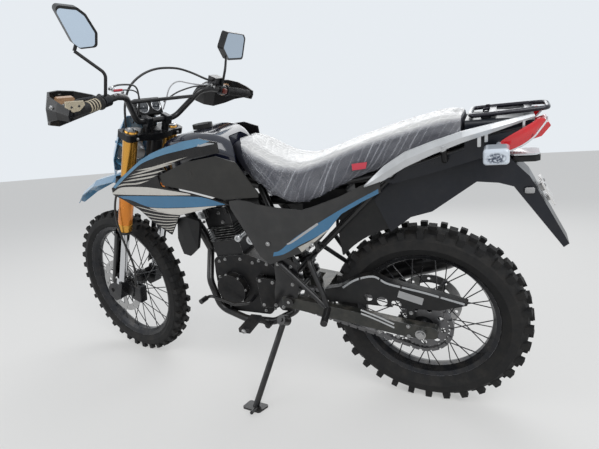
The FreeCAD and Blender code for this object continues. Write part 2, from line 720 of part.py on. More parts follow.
def hand_controls():
    """Lever perches, levers, switch housings and the brake fluid reservoir."""
    made = []
    for side in (-1, 1):
        inner, outer = grip_line(side, PERCH_NEAR, PERCH_FAR)
        perch = rod(outer, inner, PERCH_RADIUS)
        middle = perch_middle(side)
        lever_start = middle + Vector(26, 0, 2)
        tip, _ = grip_line(side, 8, 20)
        lever_end = tip + Vector(52, 0, -6)
        bend = (lever_start + lever_end) * 0.5 + Vector(16, 0, 0)
        lever = tube([lever_start, bend, lever_end], 6, 60)
        boss = rod(middle, lever_start + Vector(6, 0, 0), 10)
        solid = fused([perch, boss, lever]).cut(rod(*grip_line(side, 100, 180), S.bar_radius + 0.2))
        if side < 0:
            cup = Part.makeBox(42, 46, 30, middle + Vector(7, -12, 16))
            solid = fused([solid, cup])
        made.append(solid)
    feature("hand_controls", Part.makeCompound(made), "steering", FORK)


# Mirror stalk, left side, in the fork frame: its route above its foot
MIRROR_STALK = ((0, 0, 0), (0, 2, 66), (60, 64, 114))
# Mirror shells, left then right, in the fork frame: middle, then outline about it (away, up)
MIRROR_MIDDLE = ((-72, 352, 1122), (-72, -352, 1122))


MIRROR_OUTLINES = (((46, 77), (-19, 78), (-42, 64), (-76, 16), (-77, -25), (-28, -34), (-8, -20)),
                   ((-64, 38), (76, 24), (96, 8), (104, -80), (-22, -74), (-84, -24)))


def stalk_end(foot, side):
    x, y, z = MIRROR_STALK[-1]
    return foot + Vector(x, side * y, z)


def mirrors():
    shells, glasses = [], []
    for side, middle, outline in zip((1, -1), MIRROR_MIDDLE, MIRROR_OUTLINES):
        foot = perch_middle(side) + UP * (PERCH_RADIUS + S.seat_gap + 0.5)
        stalk = tube([foot + Vector(x, side * y, z) for x, y, z in MIRROR_STALK], 5, 24)
        shell = upright_prism([Vector(0, side * y, z) for y, z in outline], AHEAD * 26, 12)
        recess = upright_prism([Vector(-1, side * y * 0.91, z * 0.91) for y, z in outline], AHEAD * 5, 10)
        glass = upright_prism([Vector(1, side * y * 0.9, z * 0.9) for y, z in outline], AHEAD * 2.7, 10)
        place = Placement(Vector(*middle), Rotation(UP, -12 * side))
        for shape in (shell, recess, glass):
            shape.Placement = place.multiply(shape.Placement)
        neck = tube([stalk_end(foot, side), Vector(*middle) + Vector(15, -side * 30, -14)], 5)
        shells.append(fused([shell.cut(recess), stalk.cut(recess), neck.cut(recess)]))
        glasses.append(glass)
    feature("mirror_shells", Part.makeCompound(shells), "steering", FORK)
    feature("mirror_glasses", Part.makeCompound(glasses), "steering", FORK)


# Hand guard, left side, in the fork frame: ahead, across, low, high, from the inner end to the bar end
GUARD_BLADE = ((-30, 206, 884, 912), (-12, 240, 862, 924), (0, 300, 838, 936), (-8, 356, 828, 944),
               (-32, 402, 846, 950), (-72, 424, 876, 952), (-120, 425, 900, 950), (-166, 416, 910, 946))
GUARD_THICK = 6.0
LAMP_HEXAGON = ((384, 938), (392, 914), (374, 892), (344, 892), (322, 914), (332, 938))


def hand_guards():
    """Curved hand guards on the bar ends, with the front indicators behind them."""
    guards, lamps = [], []
    for side in (-1, 1):
        blade = curved_wall(GUARD_BLADE[::-1], GUARD_THICK, 5)
        if side < 0:
            blade = mirrored(blade)
        end_weight = rod(*grip_line(side, -4.3, -13), 11)
        guards.append(fused([blade, end_weight]))
        lamp = upright_prism([Vector(-56, side * y, z) for y, z in LAMP_HEXAGON], AHEAD * 14, 4)
        stem = rod((-44, side * 352, 914), (-11, side * 352, 914), 6).cut(blade)
        lamps.append(fused([lamp, stem]))
    feature("hand_guards", Part.makeCompound(guards), "steering", FORK)
    feature("front_indicators", Part.makeCompound(lamps), "steering", FORK)


def headlight():
    """Number-plate style fairing with the lamp in its face, on brackets from the fork tubes."""
    sections = ((560, 100, 82), (640, 112, 92), (730, 96, 84), (800, 74, 60))
    wires = []
    for height, half, depth in sections:
        corners = [Vector(36, -half, height), Vector(depth, -half * 0.62, height),
                   Vector(depth, half * 0.62, height), Vector(36, half, height)]
        inner = [Vector(32, half, height), Vector(depth - 5, half * 0.58, height),
                 Vector(depth - 5, -half * 0.58, height), Vector(32, -half, height)]
        wires.append(Part.makePolygon(corners + inner + [corners[0]]))
    shell = Part.makeLoft(wires, True, True)
    lens_hole = upright_prism([Vector(60, -58, 606), Vector(60, 58, 606), Vector(60, 46, 700),
                               Vector(60, -46, 700)], Vector(60, 0, 0), 14)
    front = LEG_X + S.tube_radius + S.seat_gap
    arms = []
    for side in (-1, 1):
        for level in (620, 700):
            start = Vector(front, side * 89 - 5, level)
            arms.append(Part.makeBox(61, 10, 8, start))
    feature("headlight_fairing", fused([shell.cut(lens_hole)] + arms), "steering", FORK)
    lens = upright_prism([Vector(66, -57, 607), Vector(66, 57, 607), Vector(66, 45, 699),
                          Vector(66, -45, 699)], Vector(22, 0, 0), 14)
    bowl = loft_rings([(66, 653, 44), (36, 653, 36), (14, 653, 22)])
    feature("headlight_lens", fused([lens, bowl]), "steering", FORK)


def loft_rings(rings):
    """Round bowl along X: each ring is (x, height, radius)."""
    wires = [Part.Wire([Part.makeCircle(radius, Vector(x, 0, z), AHEAD)]) for x, z, radius in rings]
    return Part.makeLoft(wires, True, True)


def instruments():
    """Clock housing on a bracket from the upper clamp."""
    housing = block((6, 0, 848), (46, 120, 66), 34, 8)
    top = S.upper_clamp + S.clamp_height + S.seat_gap
    bracket = flat([(-34, top), (-10, top), (8, 826), (-8, 832)], -26, 26)
    feature("instruments", fused([housing, bracket]), "steering", FORK)


def front_fender():
    """High fender: a beak that runs forward over the wheel, hung under the lower clamp."""
    top = float(S.lower_clamp) - S.seat_gap - 4
    sections = ((-150, top - 34, 36, 22), (-30, top, 58, 30), (110, top - 30, 66, 30),
                (250, 428, 60, 26), (350, 320, 40, 18), (404, 232, 16, 8))
    wires = []
    for index, (x, z, half, drop) in enumerate(sections):
        nearest = sections[min(index + 1, len(sections) - 1)]
        before = sections[max(index - 1, 0)]
        run = Vector(nearest[0] - before[0], 0, nearest[1] - before[1]).normalize()
        normal = Vector(-run.z, 0, run.x)
        base = Vector(x, 0, z)
        profile = ((-half, -drop), (-half * 0.55, -3), (0, 4), (half * 0.55, -3), (half, -drop),
                   (half - 3, -drop - 2), (half * 0.5, -7), (0, 0), (-half * 0.5, -7),
                   (-half + 3, -drop - 2))
        wires.append(Part.makePolygon([base + LEFT * y + normal * h for y, h in profile]
                                      + [base + LEFT * profile[0][0] + normal * profile[0][1]]))
    feature("front_fender", Part.makeLoft(wires, True, True), "steering", FORK)


def front_caliper():
    """Two-piston caliper behind the left leg, straddling the disc and bolted to the fork foot."""
    side = float(S.front_disc_side)
    body = block((-116, side + 2, 40), (64, 36, 78), 12, 4)
    slot = block((-81, side, 38), (100, S.disc_thickness + 10.2, 120), 12)
    seat_x = LEG_X - 26 - S.seat_gap
    inner = S.leg_spread - 20
    arm = flat([(seat_x, 70), (seat_x, 6), (-104, 14), (-104, 62)], inner - 6, inner + 10)
    feature("front_caliper", fused([body.cut(slot), arm]), "steering", FORK)


def front_hoses():
    """Brake hose from the lever down to the caliper, held by the left leg."""
    start = perch_middle(-1) + Vector(26, 34 + S.seat_gap, 32)
    route = [start, start + LEFT * 18, (-34, -170, 1004), (0, -110, 1016), (30, -20, 1000),
             (42, 52, 930), (34, 76, 862), (20, 79, 800), (17, 72, 740), (17, 70, 690),
             (15, 72, 612), (8, 96, 546), (-4, 126, 496),
             (-26, 142, 430), (-64, 138, 350), (-88, 112, 260), (-104, 84, 170), (-110, 80, 80.2)]
    feature("front_hoses", tube(route, 4.2, 90), "steering", FORK)


def steering():
    triple_clamps()
    fork_legs()
    axle_lugs()
    fork_guards()
    handlebar()
    grips()
    hand_controls()
    mirrors()
    hand_guards()
    headlight()
    instruments()
    front_fender()
    front_caliper()
    front_hoses()


# Side stand, in the part frame

STAND_PIVOT = BIKE.multVec(Vector(S.stand_ahead, S.stand_side, S.stand_up))
STAND_FOOT = Vector(S.foot_ahead - S.middle_ahead, S.foot_left - S.middle_left, 0)
STAND_DOWN = (STAND_FOOT - STAND_PIVOT).normalize()
STAND_UP = BIKE.Rotation.multVec(Vector(-0.97, 0.12, 0.20)).normalize()
STAND_AXIS = STAND_DOWN.cross(STAND_UP).normalize()
# Swing of the stand from parked to folded, in degrees
STAND_SWING = math.degrees(STAND_DOWN.getAngle(STAND_UP))
STAND_EYE = 11.5
STAND_BOLT = 7.0


def side_stand():
    foot_top = STAND_FOOT + UP * 8
    leg = rod(STAND_PIVOT + STAND_DOWN * 14, STAND_FOOT + UP * 5, S.stand_radius)
    below = Part.makeBox(200, 200, 60, STAND_FOOT - Vector(100, 100, 60))
    eye = Part.makeCylinder(19, 2 * STAND_EYE, STAND_PIVOT - STAND_AXIS * STAND_EYE, STAND_AXIS)
    bore = Part.makeCylinder(STAND_BOLT + S.shaft_gap, 60, STAND_PIVOT - STAND_AXIS * 30, STAND_AXIS)
    pad_corners = [STAND_FOOT + Vector(x, y, 0) for x, y in ((-44, -22), (38, -26), (44, 22), (-30, 30))]
    foot = upright_prism(pad_corners, UP * 7, 9)
    tang = rod(foot_top + Vector(-6, 10, -4), foot_top + Vector(-20, 62, 12), 6)
    shape = fused([leg, eye, foot, tang]).cut(bore).cut(below)
    feature("side_stand", shape, "side_stand", Placement())


def stand_bracket():
    """Clevis on the frame for the stand's eye, with its bolt; given in the bike frame."""
    to_bike = BIKE.inverse()
    pivot = Vector(S.stand_ahead, S.stand_side, S.stand_up)
    axis = to_bike.Rotation.multVec(STAND_AXIS)
    ears = []
    for side in (-1, 1):
        inner = STAND_EYE + S.seat_gap
        ears.append(Part.makeCylinder(19, 7, pivot + axis * side * inner, axis * side))
    bolt = Part.makeCylinder(STAND_BOLT, 2 * STAND_EYE + 24, pivot - axis * (STAND_EYE + 12), axis)
    return ears + [bolt], axis


# Frame and running gear, in the bike frame

def head_point(height):
    """Point of the steering axis at a height along the fork frame."""
    return in_fork(AXIS_X, 0, height)


# Spine tube's radius and rear end, and the offset of the pivot members from the middle plane
SPINE_RADIUS = 24.0
SPINE_END = (560.0, 0.0, 812.0)
PIVOT_SIDE = 50.0


def spine_route():
    return [head_point(690), Vector(800, 0, 880), Vector(*SPINE_END)]


def frame():
    """Head tube, spine, down tube, two cradle loops, pivot members and the rear sub-frame."""
    low, high = S.lower_clamp + S.clamp_height + 3, S.upper_clamp - 3
    head = rod(head_point(low), head_point(high), S.head_radius)
    bore = rod(head_point(low - 5), head_point(high + 5), S.stem_radius + S.shaft_gap)
    side, radius = float(S.cradle_side), float(S.frame_radius)
    ahead, up = float(S.pivot_ahead), float(S.pivot_up)
    parts = [head, tube(spine_route(), SPINE_RADIUS, 200),
             tube([head_point(650), (868, 0, 600), (846, 0, 540)], 20, 200)]
    for sign in (-1, 1):
        near = sign * PIVOT_SIDE
        parts.append(tube([(850, 0, 552), (824, sign * side, 440), (800, sign * side, 318),
                           (690, sign * side, 278), (560, sign * side, 280), (ahead + 6, near, 322),
                           (ahead, near, up + 60), (500, near, 690), (556, sign * 17, 806)], radius,
                          [60, 60, 60, 60, 50, 80, 60]))
        parts.append(tube([(546, sign * 9, 808), (430, sign * 80, 806), (60, sign * 92, 858),
                           (-210, sign * 84, 936)], 11, 80))
        parts.append(tube([(ahead, near, 474), (60, sign * 92, 856)], 9))
    parts.append(rod((-150, -84, 918), (-150, 84, 918), 9))
    parts.append(rod((430, -80, 806), (430, 80, 806), 11))
    parts.append(rod((500, -PIVOT_SIDE, 690), (500, PIVOT_SIDE, 690), 11))
    ears, axis = stand_bracket()
    stand = Vector(S.stand_ahead, S.stand_side, S.stand_up)
    arm = rod((S.stand_ahead + 60, side, 281), stand - axis * (STAND_EYE + 3), 9)
    pivot_tube = rod((ahead, -S.arm_outer - 6, up), (ahead, S.arm_outer + 6, up), 12)
    heads = [rod((ahead, sign * (S.arm_outer + S.seat_gap), up), (ahead, sign * (S.arm_outer + 12), up), 18)
             for sign in (-1, 1)]
    shape = fused(parts + [arm, pivot_tube] + ears + heads).cut(bore)
    clear = STAND_EYE + S.seat_gap
    eye_room = Part.makeCylinder(26, 2 * clear, stand - axis * clear, axis)
    keep_bolt = Part.makeCylinder(STAND_BOLT, 2 * clear + 4, stand - axis * (clear + 2), axis)
    feature("frame", shape.cut(eye_room.cut(keep_bolt)), "chassis", BIKE)


# Cylinder's foot on the crankcase, its tilt to the front, and the head's front face ahead of its middle
HEAD_BASE = Vector(718, 0, 547)
HEAD_TILT = 8.0
HEAD_FRONT = 62.0


def head_spot(x, y, z):
    """A point of the cylinder head's own frame, given in the bike frame."""
    return Placement(HEAD_BASE, Rotation(LEFT, HEAD_TILT)).multVec(Vector(x, y, z))


# Cylinder fins, then the round covers' screw bosses: cover centre, ring radius, reach beyond the case
FIN_START, FIN_PITCH, FIN_COUNT = 62.0, 9.6, 6
BOSS_COUNT = 7
COVER_BOSSES = (((722, 0, 414), 60, 24, LEFT), ((650, 0, 420), 84, 24, -LEFT))


def engine():
    """Crankcase with bolted round covers, then the cylinder with its base, fins and head."""
    half = S.cradle_side - S.frame_radius - S.seat_gap
    outline = [(490, 452), (520, 372), (580, 300), (782, 300), (806, 372), (800, 470), (792, 536.3),
               (640, 557.7), (540, 520)]
    case = flat(outline, -half, half, 26)
    recess = Part.makeBox(S.drive_ahead + 52 - 400, 100, 132, Vector(400, 58, S.drive_up - 64))
    case = case.cut(recess)
    left = Part.makeCylinder(62, half + 30, Vector(722, 0, 414), LEFT)
    bosses = []
    for centre, ring, reach, direction in COVER_BOSSES:
        for index in range(BOSS_COUNT):
            spot = Vector(*centre) + Rotation(LEFT, 360 * (index + 0.5) / BOSS_COUNT).multVec(AHEAD * ring)
            bosses.append(Part.makeCylinder(7, half + reach, spot, direction))
    sill = Part.makeBox(20, 38, 128, Vector(S.drive_ahead + 52, 58, S.drive_up - 62))
    cover = flat([(600, 474), (600, 346), (530, 350), (499, 378), (499, 440), (526, 470)],
                 S.chain_side + 12, S.chain_side + 20, 12)
    right = Part.makeCylinder(86, half + 30, Vector(650, 0, 420), -LEFT)
    small = Part.makeCylinder(54, half + 22, Vector(730, 0, 400), -LEFT)
    feature("engine_case", fused([case, left, sill, cover, right, small] + bosses), "chassis", BIKE)
    parts = [Part.makeBox(124, 132, FIN_START, Vector(-62, -66, 0)),
             Part.makeBox(96, 104, 150, Vector(-48, -52, 0)),
             Part.makeBox(56 + HEAD_FRONT, 120, 72, Vector(-58 + 2, -60, 118)),
             Part.makeBox(100, 92, 24, Vector(-48, -46, 188))]
    for index in range(FIN_COUNT):
        parts.append(Part.makeBox(126, 142, 3.2, Vector(-63, -71, FIN_START + 5 + FIN_PITCH * index)))
    parts.append(Part.makeBox(12, 60, 46, Vector(-58, -30, 148)))
    for x, y in ((-46, -62), (-46, 62), (46, -62), (46, 62)):
        parts.append(Part.makeCylinder(8, 30, Vector(x, y, 164)))
    shape = fused(parts)
    shape.Placement = Placement(HEAD_BASE, Rotation(LEFT, HEAD_TILT))
    feature("cylinder", shape, "chassis", BIKE)


def intake():
    """Throttle body, inlet trunk and air box behind the cylinder head."""
    start, back = head_spot(-58 - S.seat_gap, 0, 172), head_spot(-98, 0, 172)
    throttle = [rod(start, back, 22), rod(back - (back - start) * 0.1, (570, 0, 748), 27),
                rod((580, 0, 747), (380, 0, 748), 16)]
    box = upright_prism([Vector(x, -44, z) for x, z in ((226, 690), (390, 690), (390, 790), (226, 800))],
                        LEFT * 88, 10)
    feature("air_box", fused(throttle + [box]), "chassis", BIKE)


# Muffler: middle of its front face, and the direction from its rear end to its front
CAN_START = Vector(262, -170, 364)
CAN_ALONG = Vector(0.947, 0, -0.32).normalize()


def exhaust():
    """Header round the right side of the engine to the muffler beside the rear wheel."""
    start, ahead = head_spot(HEAD_FRONT + S.seat_gap, -30, 170), head_spot(HEAD_FRONT + 52, -30, 170)
    can_end = CAN_START + CAN_ALONG * 70
    header = tube([start, ahead, (868, -92, 596), (856, -124, 470), (806, -134, 392),
                   (690, -136, 388), (600, -135, 374), (500, -136, 350), (420, -144, 338), can_end,
                   CAN_START + CAN_ALONG * S.seat_gap], 17, 46)
    feature("exhaust_pipe", header, "chassis", BIKE)
    can = spindle([(0, 20), (24, 42), (50, 48), (330, 48), (366, 42), (392, 26), (404, 26), (404, 20),
                   (380, 20), (380, 16), (416, 16)], CAN_START, -CAN_ALONG)
    feature("muffler", can, "chassis", BIKE)


# Seat sections: ahead, half width at the edge, half width on top, low edge, top, corner radius
SEAT_SECTIONS = ((640, 46, 42, 918, 962, 18), (580, 90, 68, 868, 984, 30), (520, 114, 84, 814, 956, 34),
                 (440, 128, 92, 772, 912, 34), (360, 134, 96, 762, 896, 34), (240, 138, 96, 803, 924, 34),
                 (120, 136, 92, 853, 960, 34), (0, 130, 84, 888, 990, 34), (-138, 112, 72, 930, 1006, 28))
# Underside of the seat over the frame's tubes: ahead, up
SEAT_BASE = ((700, 872), (660, 870), (600, 851), (553, 839.3), (500, 838.6), (436, 817.9), (60, 870.4),
             (-160, 933.6))
SEAT_BASE_HALF = 108.0


def seat_form(grow, lift):
    """The seat's outer form, grown on all sides and lifted: a loft of rounded trapezoids."""
    wires = []
    for index, (x, edge, crown, low, high, bend) in enumerate(SEAT_SECTIONS):
        x += grow / 2 if index == 0 else 0
        edge, crown = edge + grow, crown + grow
        low, high = low - grow + lift, high + grow + lift
        corners = [Vector(x, -edge, low), Vector(x, edge, low), Vector(x, crown, high),
                   Vector(x, -crown, high)]
        first = (corners[0] + corners[-1]) * 0.5
        wires.append(corner_route([first] + corners + [first], [8, bend, bend, 8]))
    return Part.makeLoft(wires, True, False)


def tank():
    """Fuel tank over the spine, hollowed for it and for the seat's nose, with its cap."""
    sections = ((940, 52, 900, 962, 24), (860, 112, 846, 1008, 40), (740, 142, 830, 1026, 52),
                (660, 122, 840, 1010, 52), (602, 78, 850, 958, 34))
    shape = loft(sections)
    top = SPINE_RADIUS + S.seat_gap - 0.7
    start, knee, end = spine_route()
    channel = flat([(start.x + 60, start.z + 26 + top), (knee.x, knee.z + top + 2),
                    (end.x - 60, end.z - 13 + top), (end.x - 60, 700), (start.x + 60, 700)], -30, 30)
    shape = shape.cut(channel)
    for lift in (0.0, 30.0):
        shape = shape.cut(seat_form(0.6, lift))
    feature("fuel_tank", shape, "chassis", BIKE)
    cap = Part.makeCylinder(36, 16, Vector(762, 0, 1026.6))
    feature("fuel_cap", cap, "chassis", BIKE)


# Tank shroud, left side: ahead, then the outer face's corners (across, up) at the top edge, the
# flank, the crease and the low edge
SHROUD = ((1090, ((189, 862), (190, 854), (191, 846), (190, 837))),
          (1040, ((185, 897), (189, 868), (190, 842), (188, 812))),
          (985, ((182, 927), (188, 880), (189, 838), (186, 776))),
          (930, ((178, 958), (185, 894), (187, 833), (183, 720))),
          (872, ((174, 981), (182, 904), (184, 831), (178, 676))),
          (846, ((172, 988), (179, 908), (182, 830), (176, 712))),
          (815, ((169, 996), (177, 912), (180, 829), (175, 752))),
          (740, ((161, 1011), (170, 918), (173, 825), (169, 766))),
          (680, ((153, 1015), (160, 910), (163, 804), (161, 777))),
          (616, ((144, 996), (149, 890), (150, 787), (149, 781))))


SHROUD_THICK = 5.0
# Edge of the opening in the shroud for the tank's side panel: ahead, up
PANEL_EDGE = ((840, 937), (865, 901), (860, 861), (744, 832), (632, 793), (560, 757), (560, 965),
              (700, 955))
# Tank's side panel: columns as in the shroud's table
TANK_PANEL = ((856, ((176, 903), (177, 886), (177, 866))),
              (744, ((166, 941), (168, 890), (169, 839))),
              (632, ((147, 951), (149, 876), (148, 800))),
              (566, ((138, 926), (141, 866), (139, 801))),
              (504, ((131, 816), (132, 809), (132, 802))))
# Cover below the shroud: columns as in the shroud's table
LOWER_SHROUD = ((764, ((144, 718), (144, 713), (143, 706))),
                (806, ((154, 737), (148, 670), (135, 601))),
                (850, ((153, 729), (146, 650), (132, 568))),
                (879, ((144, 647), (140, 612), (134, 577))))
# Side cover: columns as in the shroud's table
SIDE_COVER = ((612, ((149, 795), (151, 786), (150, 770))),
              (575, ((149, 799), (153, 735), (149, 690))),
              (535, ((146, 792), (151, 690), (144, 590))),
              (505, ((143, 780), (148, 670), (140, 557))),
              (440, ((137, 766), (143, 685), (137, 581))),
              (350, ((134, 758), (140, 690), (136, 616))),
              (300, ((134, 774), (139, 720), (135, 657))),
              (220, ((133, 802), (136, 776), (133, 745))),
              (150, ((131, 834), (133, 812), (130, 784))),
              (92, ((129, 852), (130, 832), (129, 812))))
# Widest offset of the tank's side
TANK_SIDE = 142.2


def covers():
    """Shrouds, tank side panels, lower shrouds and side covers, each on posts from what carries it."""
    to_tank = TANK_SIDE + S.seat_gap
    opening = upright_prism([Vector(x, 100, z) for x, z in PANEL_EDGE], LEFT * 120, 12)
    shroud = cover_shell(SHROUD, SHROUD_THICK).cut(opening)
    shroud = fused([shroud, rod((750, to_tank, 966), (750, 163, 966), 9)])
    feature("tank_shrouds", Part.makeCompound(both_sides(shroud)), "chassis", BIKE)
    panel = fused([cover_shell(TANK_PANEL, 5), rod((735, to_tank, 900), (735, 166, 900), 9)])
    feature("tank_panels", Part.makeCompound(both_sides(panel)), "chassis", BIKE)
    lower = fused([cover_shell(LOWER_SHROUD, 16), rod((852, 140, 718), (852, 171.2, 718), 6)])
    feature("lower_shrouds", Part.makeCompound(both_sides(lower)), "chassis", BIKE)
    posts = [tube([(330, 73.6, 600), (330, 104, 600), (330, 116, 652), (330, 136, 652)], 6, 12),
             rod((491.4, PIVOT_SIDE + S.frame_radius + S.seat_gap, 640), (491.4, 141, 640), 7)]
    cover = fused([cover_shell(SIDE_COVER, 5)] + posts)
    feature("side_covers", Part.makeCompound(both_sides(cover)), "chassis", BIKE)


def seat():
    """Seat with deep skirts, hollow underneath where it straddles the sub-frame."""
    under = [Vector(x, -SEAT_BASE_HALF, z) for x, z in SEAT_BASE]
    under += [Vector(SEAT_BASE[-1][0], -SEAT_BASE_HALF, 600), Vector(SEAT_BASE[0][0], -SEAT_BASE_HALF, 600)]
    tunnel = upright_prism(under, LEFT * 2 * SEAT_BASE_HALF)
    feature("seat", seat_form(0.0, 0.0).cut(tunnel), "chassis", BIKE)


def tail():
    """Tail cowl, lamp, deep rear fender, plate and rear indicators."""
    cowl = loft(((-138 - 0.4, 88, 952, 994, 12), (-230, 80, 953, 992, 12), (-305, 60, 962, 986, 9)), False)
    skirt_side = 92 + 11 + S.seat_gap
    skirt = [(110, 850), (0, 883), (-60, 900), (-138.4, 922), (-139.5, 946), (-300, 972), (-300, 948),
             (-190, 900), (-60, 862), (60, 832)]
    skirts = both_sides(flat(skirt, skirt_side, skirt_side + 4, 8))
    feature("tail_cowl", Part.makeCompound([cowl] + skirts), "chassis", BIKE)
    lamp = flat([(-240, 953.8), (-305, 961.5), (-336, 972), (-342, 962), (-322, 936), (-252, 914)],
                -58, 58, 4)
    feature("tail_light", lamp, "chassis", BIKE)
    fender = ((150, 796, 64, 150), (60, 838, 74, 130), (-20, 852, 78, 120), (-160, 884, 74, 62),
              (-250, 880, 66, 70), (-300, 826, 60, 46), (-404, 626, 46, 16))
    wires = []
    for index, (x, z, half, drop) in enumerate(fender):
        after, before = fender[min(index + 1, len(fender) - 1)], fender[max(index - 1, 0)]
        run = Vector(after[0] - before[0], 0, after[1] - before[1]).normalize()
        normal = Vector(run.z, 0, -run.x)
        profile = ((-half, -drop), (-half * 0.8, 0), (half * 0.8, 0), (half, -drop), (half - 3, -drop),
                   (half * 0.76, -3.5), (-half * 0.76, -3.5), (-half + 3, -drop))
        corners = [Vector(x, y, z) + normal * h for y, h in profile]
        wires.append(Part.makePolygon(corners + [corners[0]]))
    posts = [Part.makeBox(20, 16, 27.7 - S.seat_gap, Vector(-160, y, 881.3)) for y in (-46, 30)]
    feature("rear_fender", fused([Part.makeLoft(wires, True, True)] + posts), "chassis", BIKE)
    plate = Part.makeBox(4, 2 * S.plate_half, 100, Vector(-4, -S.plate_half, -50))
    bracket = Part.makeBox(16, 60, 20, Vector(0, -30, -10))
    for side in (-1, 1):
        plate = plate.cut(rod((-9, side * S.plate_bolts, 30), (9, side * S.plate_bolts, 30), 3.3))
    run = Vector(-404 + 300, 0, 626 - 826).normalize()
    normal = Vector(run.z, 0, -run.x)
    middle = Vector(-300, 0, 826) + run * 60 + normal * (16 + S.seat_gap)
    plate = fused([plate, bracket])
    plate.Placement = Placement(middle, Rotation(UP * 1.0, Vector(-run.x, 0, -run.z)))
    feature("number_plate", plate, "chassis", BIKE)
    lamps = []
    for side in (-1, 1):
        stalk = rod((-222, side * (skirt_side + 4 + S.seat_gap), 931), (-222, side * 142, 931), 7)
        lamps.append(fused([stalk, block((-218, side * 166, 920), (60, 66, 40), 0, 9)]))
    feature("rear_indicators", Part.makeCompound(lamps), "chassis", BIKE)


# Grab rail, left side: ahead, across, low, high, from the pointed front tip back
GRAB_RAIL = ((133, 151, 836, 842), (72, 154, 857, 897), (12, 155, 892, 934), (-60, 154, 923, 958),
             (-137, 148, 950, 979), (-205, 131, 967, 989), (-262, 104, 980, 995), (-302, 78, 987, 998))


def carriers():
    """Cast grab rails beside the seat and the flat rack behind it."""
    rail = curved_wall(GRAB_RAIL[::-1], 9, 4)
    stubs = [tube([(x, 107.3 + S.seat_gap, low), (x, 128, low), (x, 151, high)], 8, 12)
             for x, low, high in ((58, 858, 884), (-90, 899, 948))]
    feature("grab_rails", Part.makeCompound(both_sides(fused([rail] + stubs))), "chassis", BIKE)
    feature("rear_rack", flat_rack(), "chassis", BIKE)


# Height of the rack's top face
RACK_TOP = 1013.0


def flat_rack():
    """Plate with two grips and four bolt holes, on two feet that stand on the tail cowl."""
    corners = [Vector(-150, -70, RACK_TOP - 6), Vector(-330, -56, RACK_TOP - 6),
               Vector(-330, 56, RACK_TOP - 6), Vector(-150, 70, RACK_TOP - 6)]
    plate = upright_prism(corners, UP * 6, 18)
    for sign in (-1, 1):
        window = upright_prism([Vector(-170, sign * 22, 980), Vector(-200, sign * 20, 980),
                                Vector(-200, sign * 8, 980), Vector(-170, sign * 8, 980)], UP * 40, 4)
        plate = plate.cut(window)
    for angle in (45, 135, 225, 315):
        turn = math.radians(angle)
        spot = Vector(-252 + S.rack_bolts * math.cos(turn), S.rack_bolts * math.sin(turn), RACK_TOP - 20)
        plate = plate.cut(Part.makeCylinder(3.3, 40, spot))
    feet = [Part.makeBox(24, 12, RACK_TOP - 5 - (993 + S.seat_gap), Vector(-200, y, 993 + S.seat_gap))
            for y in (-58, 46)]
    return fused([plate] + feet)


# Rear face of the swingarm's bridge ahead of the rear axle
BRIDGE = 352.0


def swingarm():
    """Two box arms with a bridge ahead of the tyre, bored for the pivot and the axle."""
    arms = []
    ahead, up, axle_up = float(S.pivot_ahead), float(S.pivot_up), float(S.rear_tip)
    for side in (-1, 1):
        low, high = sorted((side * float(S.arm_inner), side * float(S.arm_outer)))
        arms.append(flat([(ahead + 30, up + 20), (ahead + 30, up - 26), (40, axle_up - 24),
                          (-52, axle_up - 20), (-52, axle_up + 20), (40, axle_up + 28)], low, high, 14))
    bridge = Part.makeBox(46, 2 * S.arm_inner + 4, 44, Vector(BRIDGE, -S.arm_inner - 2, up - 36))
    shock_ears = [flat([(382, 400), (418, 400), (410, 452), (390, 452)], low, low + 8, 6)
                  for low in (-26, 18)]
    shape = fused(arms + [bridge] + shock_ears)
    hole = rod((0, -200, axle_up), (0, 200, axle_up), S.rear_axle_radius + S.shaft_gap)
    room = rod((ahead, -200, up), (ahead, 200, up), 12 + S.shaft_gap)
    feature("swingarm", shape.cut(hole).cut(room), "chassis", BIKE)
    reach = S.arm_outer + 12
    ends = {-1: S.rear_disc_side - S.disc_thickness / 2, 1: S.chain_side - SPROCKET_THICKNESS / 2}
    axle = [rod((0, -reach, axle_up), (0, reach, axle_up), S.rear_axle_radius)]
    for side in (-1, 1):
        axle.append(rod((0, side * (ends[side] + 0.5), axle_up),
                        (0, side * (S.arm_inner - S.seat_gap), axle_up), 15))
        axle.append(rod((0, side * (S.arm_outer + S.seat_gap), axle_up), (0, side * reach, axle_up), 16))
    feature("rear_axle", fused(axle), "chassis", BIKE)


def chain_path():
    """Pitch line of the chain: two arcs round the sprockets and the straight runs between them."""
    rear, drive = Vector(0, 0, S.rear_tip), Vector(S.drive_ahead, 0, S.drive_up)
    big, small = pitch_radius(S.sprocket_teeth), pitch_radius(S.drive_teeth)
    run = drive - rear
    slope = math.atan2(run.z, run.x)
    lean = math.asin((big - small) / run.Length)
    upper, lower = slope + math.pi / 2 - lean, slope - math.pi / 2 + lean

    def on(centre, radius, angle):
        return centre + Vector(math.cos(angle), 0, math.sin(angle)) * radius

    corners = [on(rear, big, upper), on(drive, small, upper), on(drive, small, lower), on(rear, big, lower)]
    edges = [Part.LineSegment(corners[0], corners[1]).toShape(),
             Part.Arc(corners[1], on(drive, small, slope), corners[2]).toShape(),
             Part.LineSegment(corners[2], corners[3]).toShape(),
             Part.Arc(corners[3], on(rear, big, slope + math.pi), corners[0]).toShape()]
    return Part.Wire(edges)


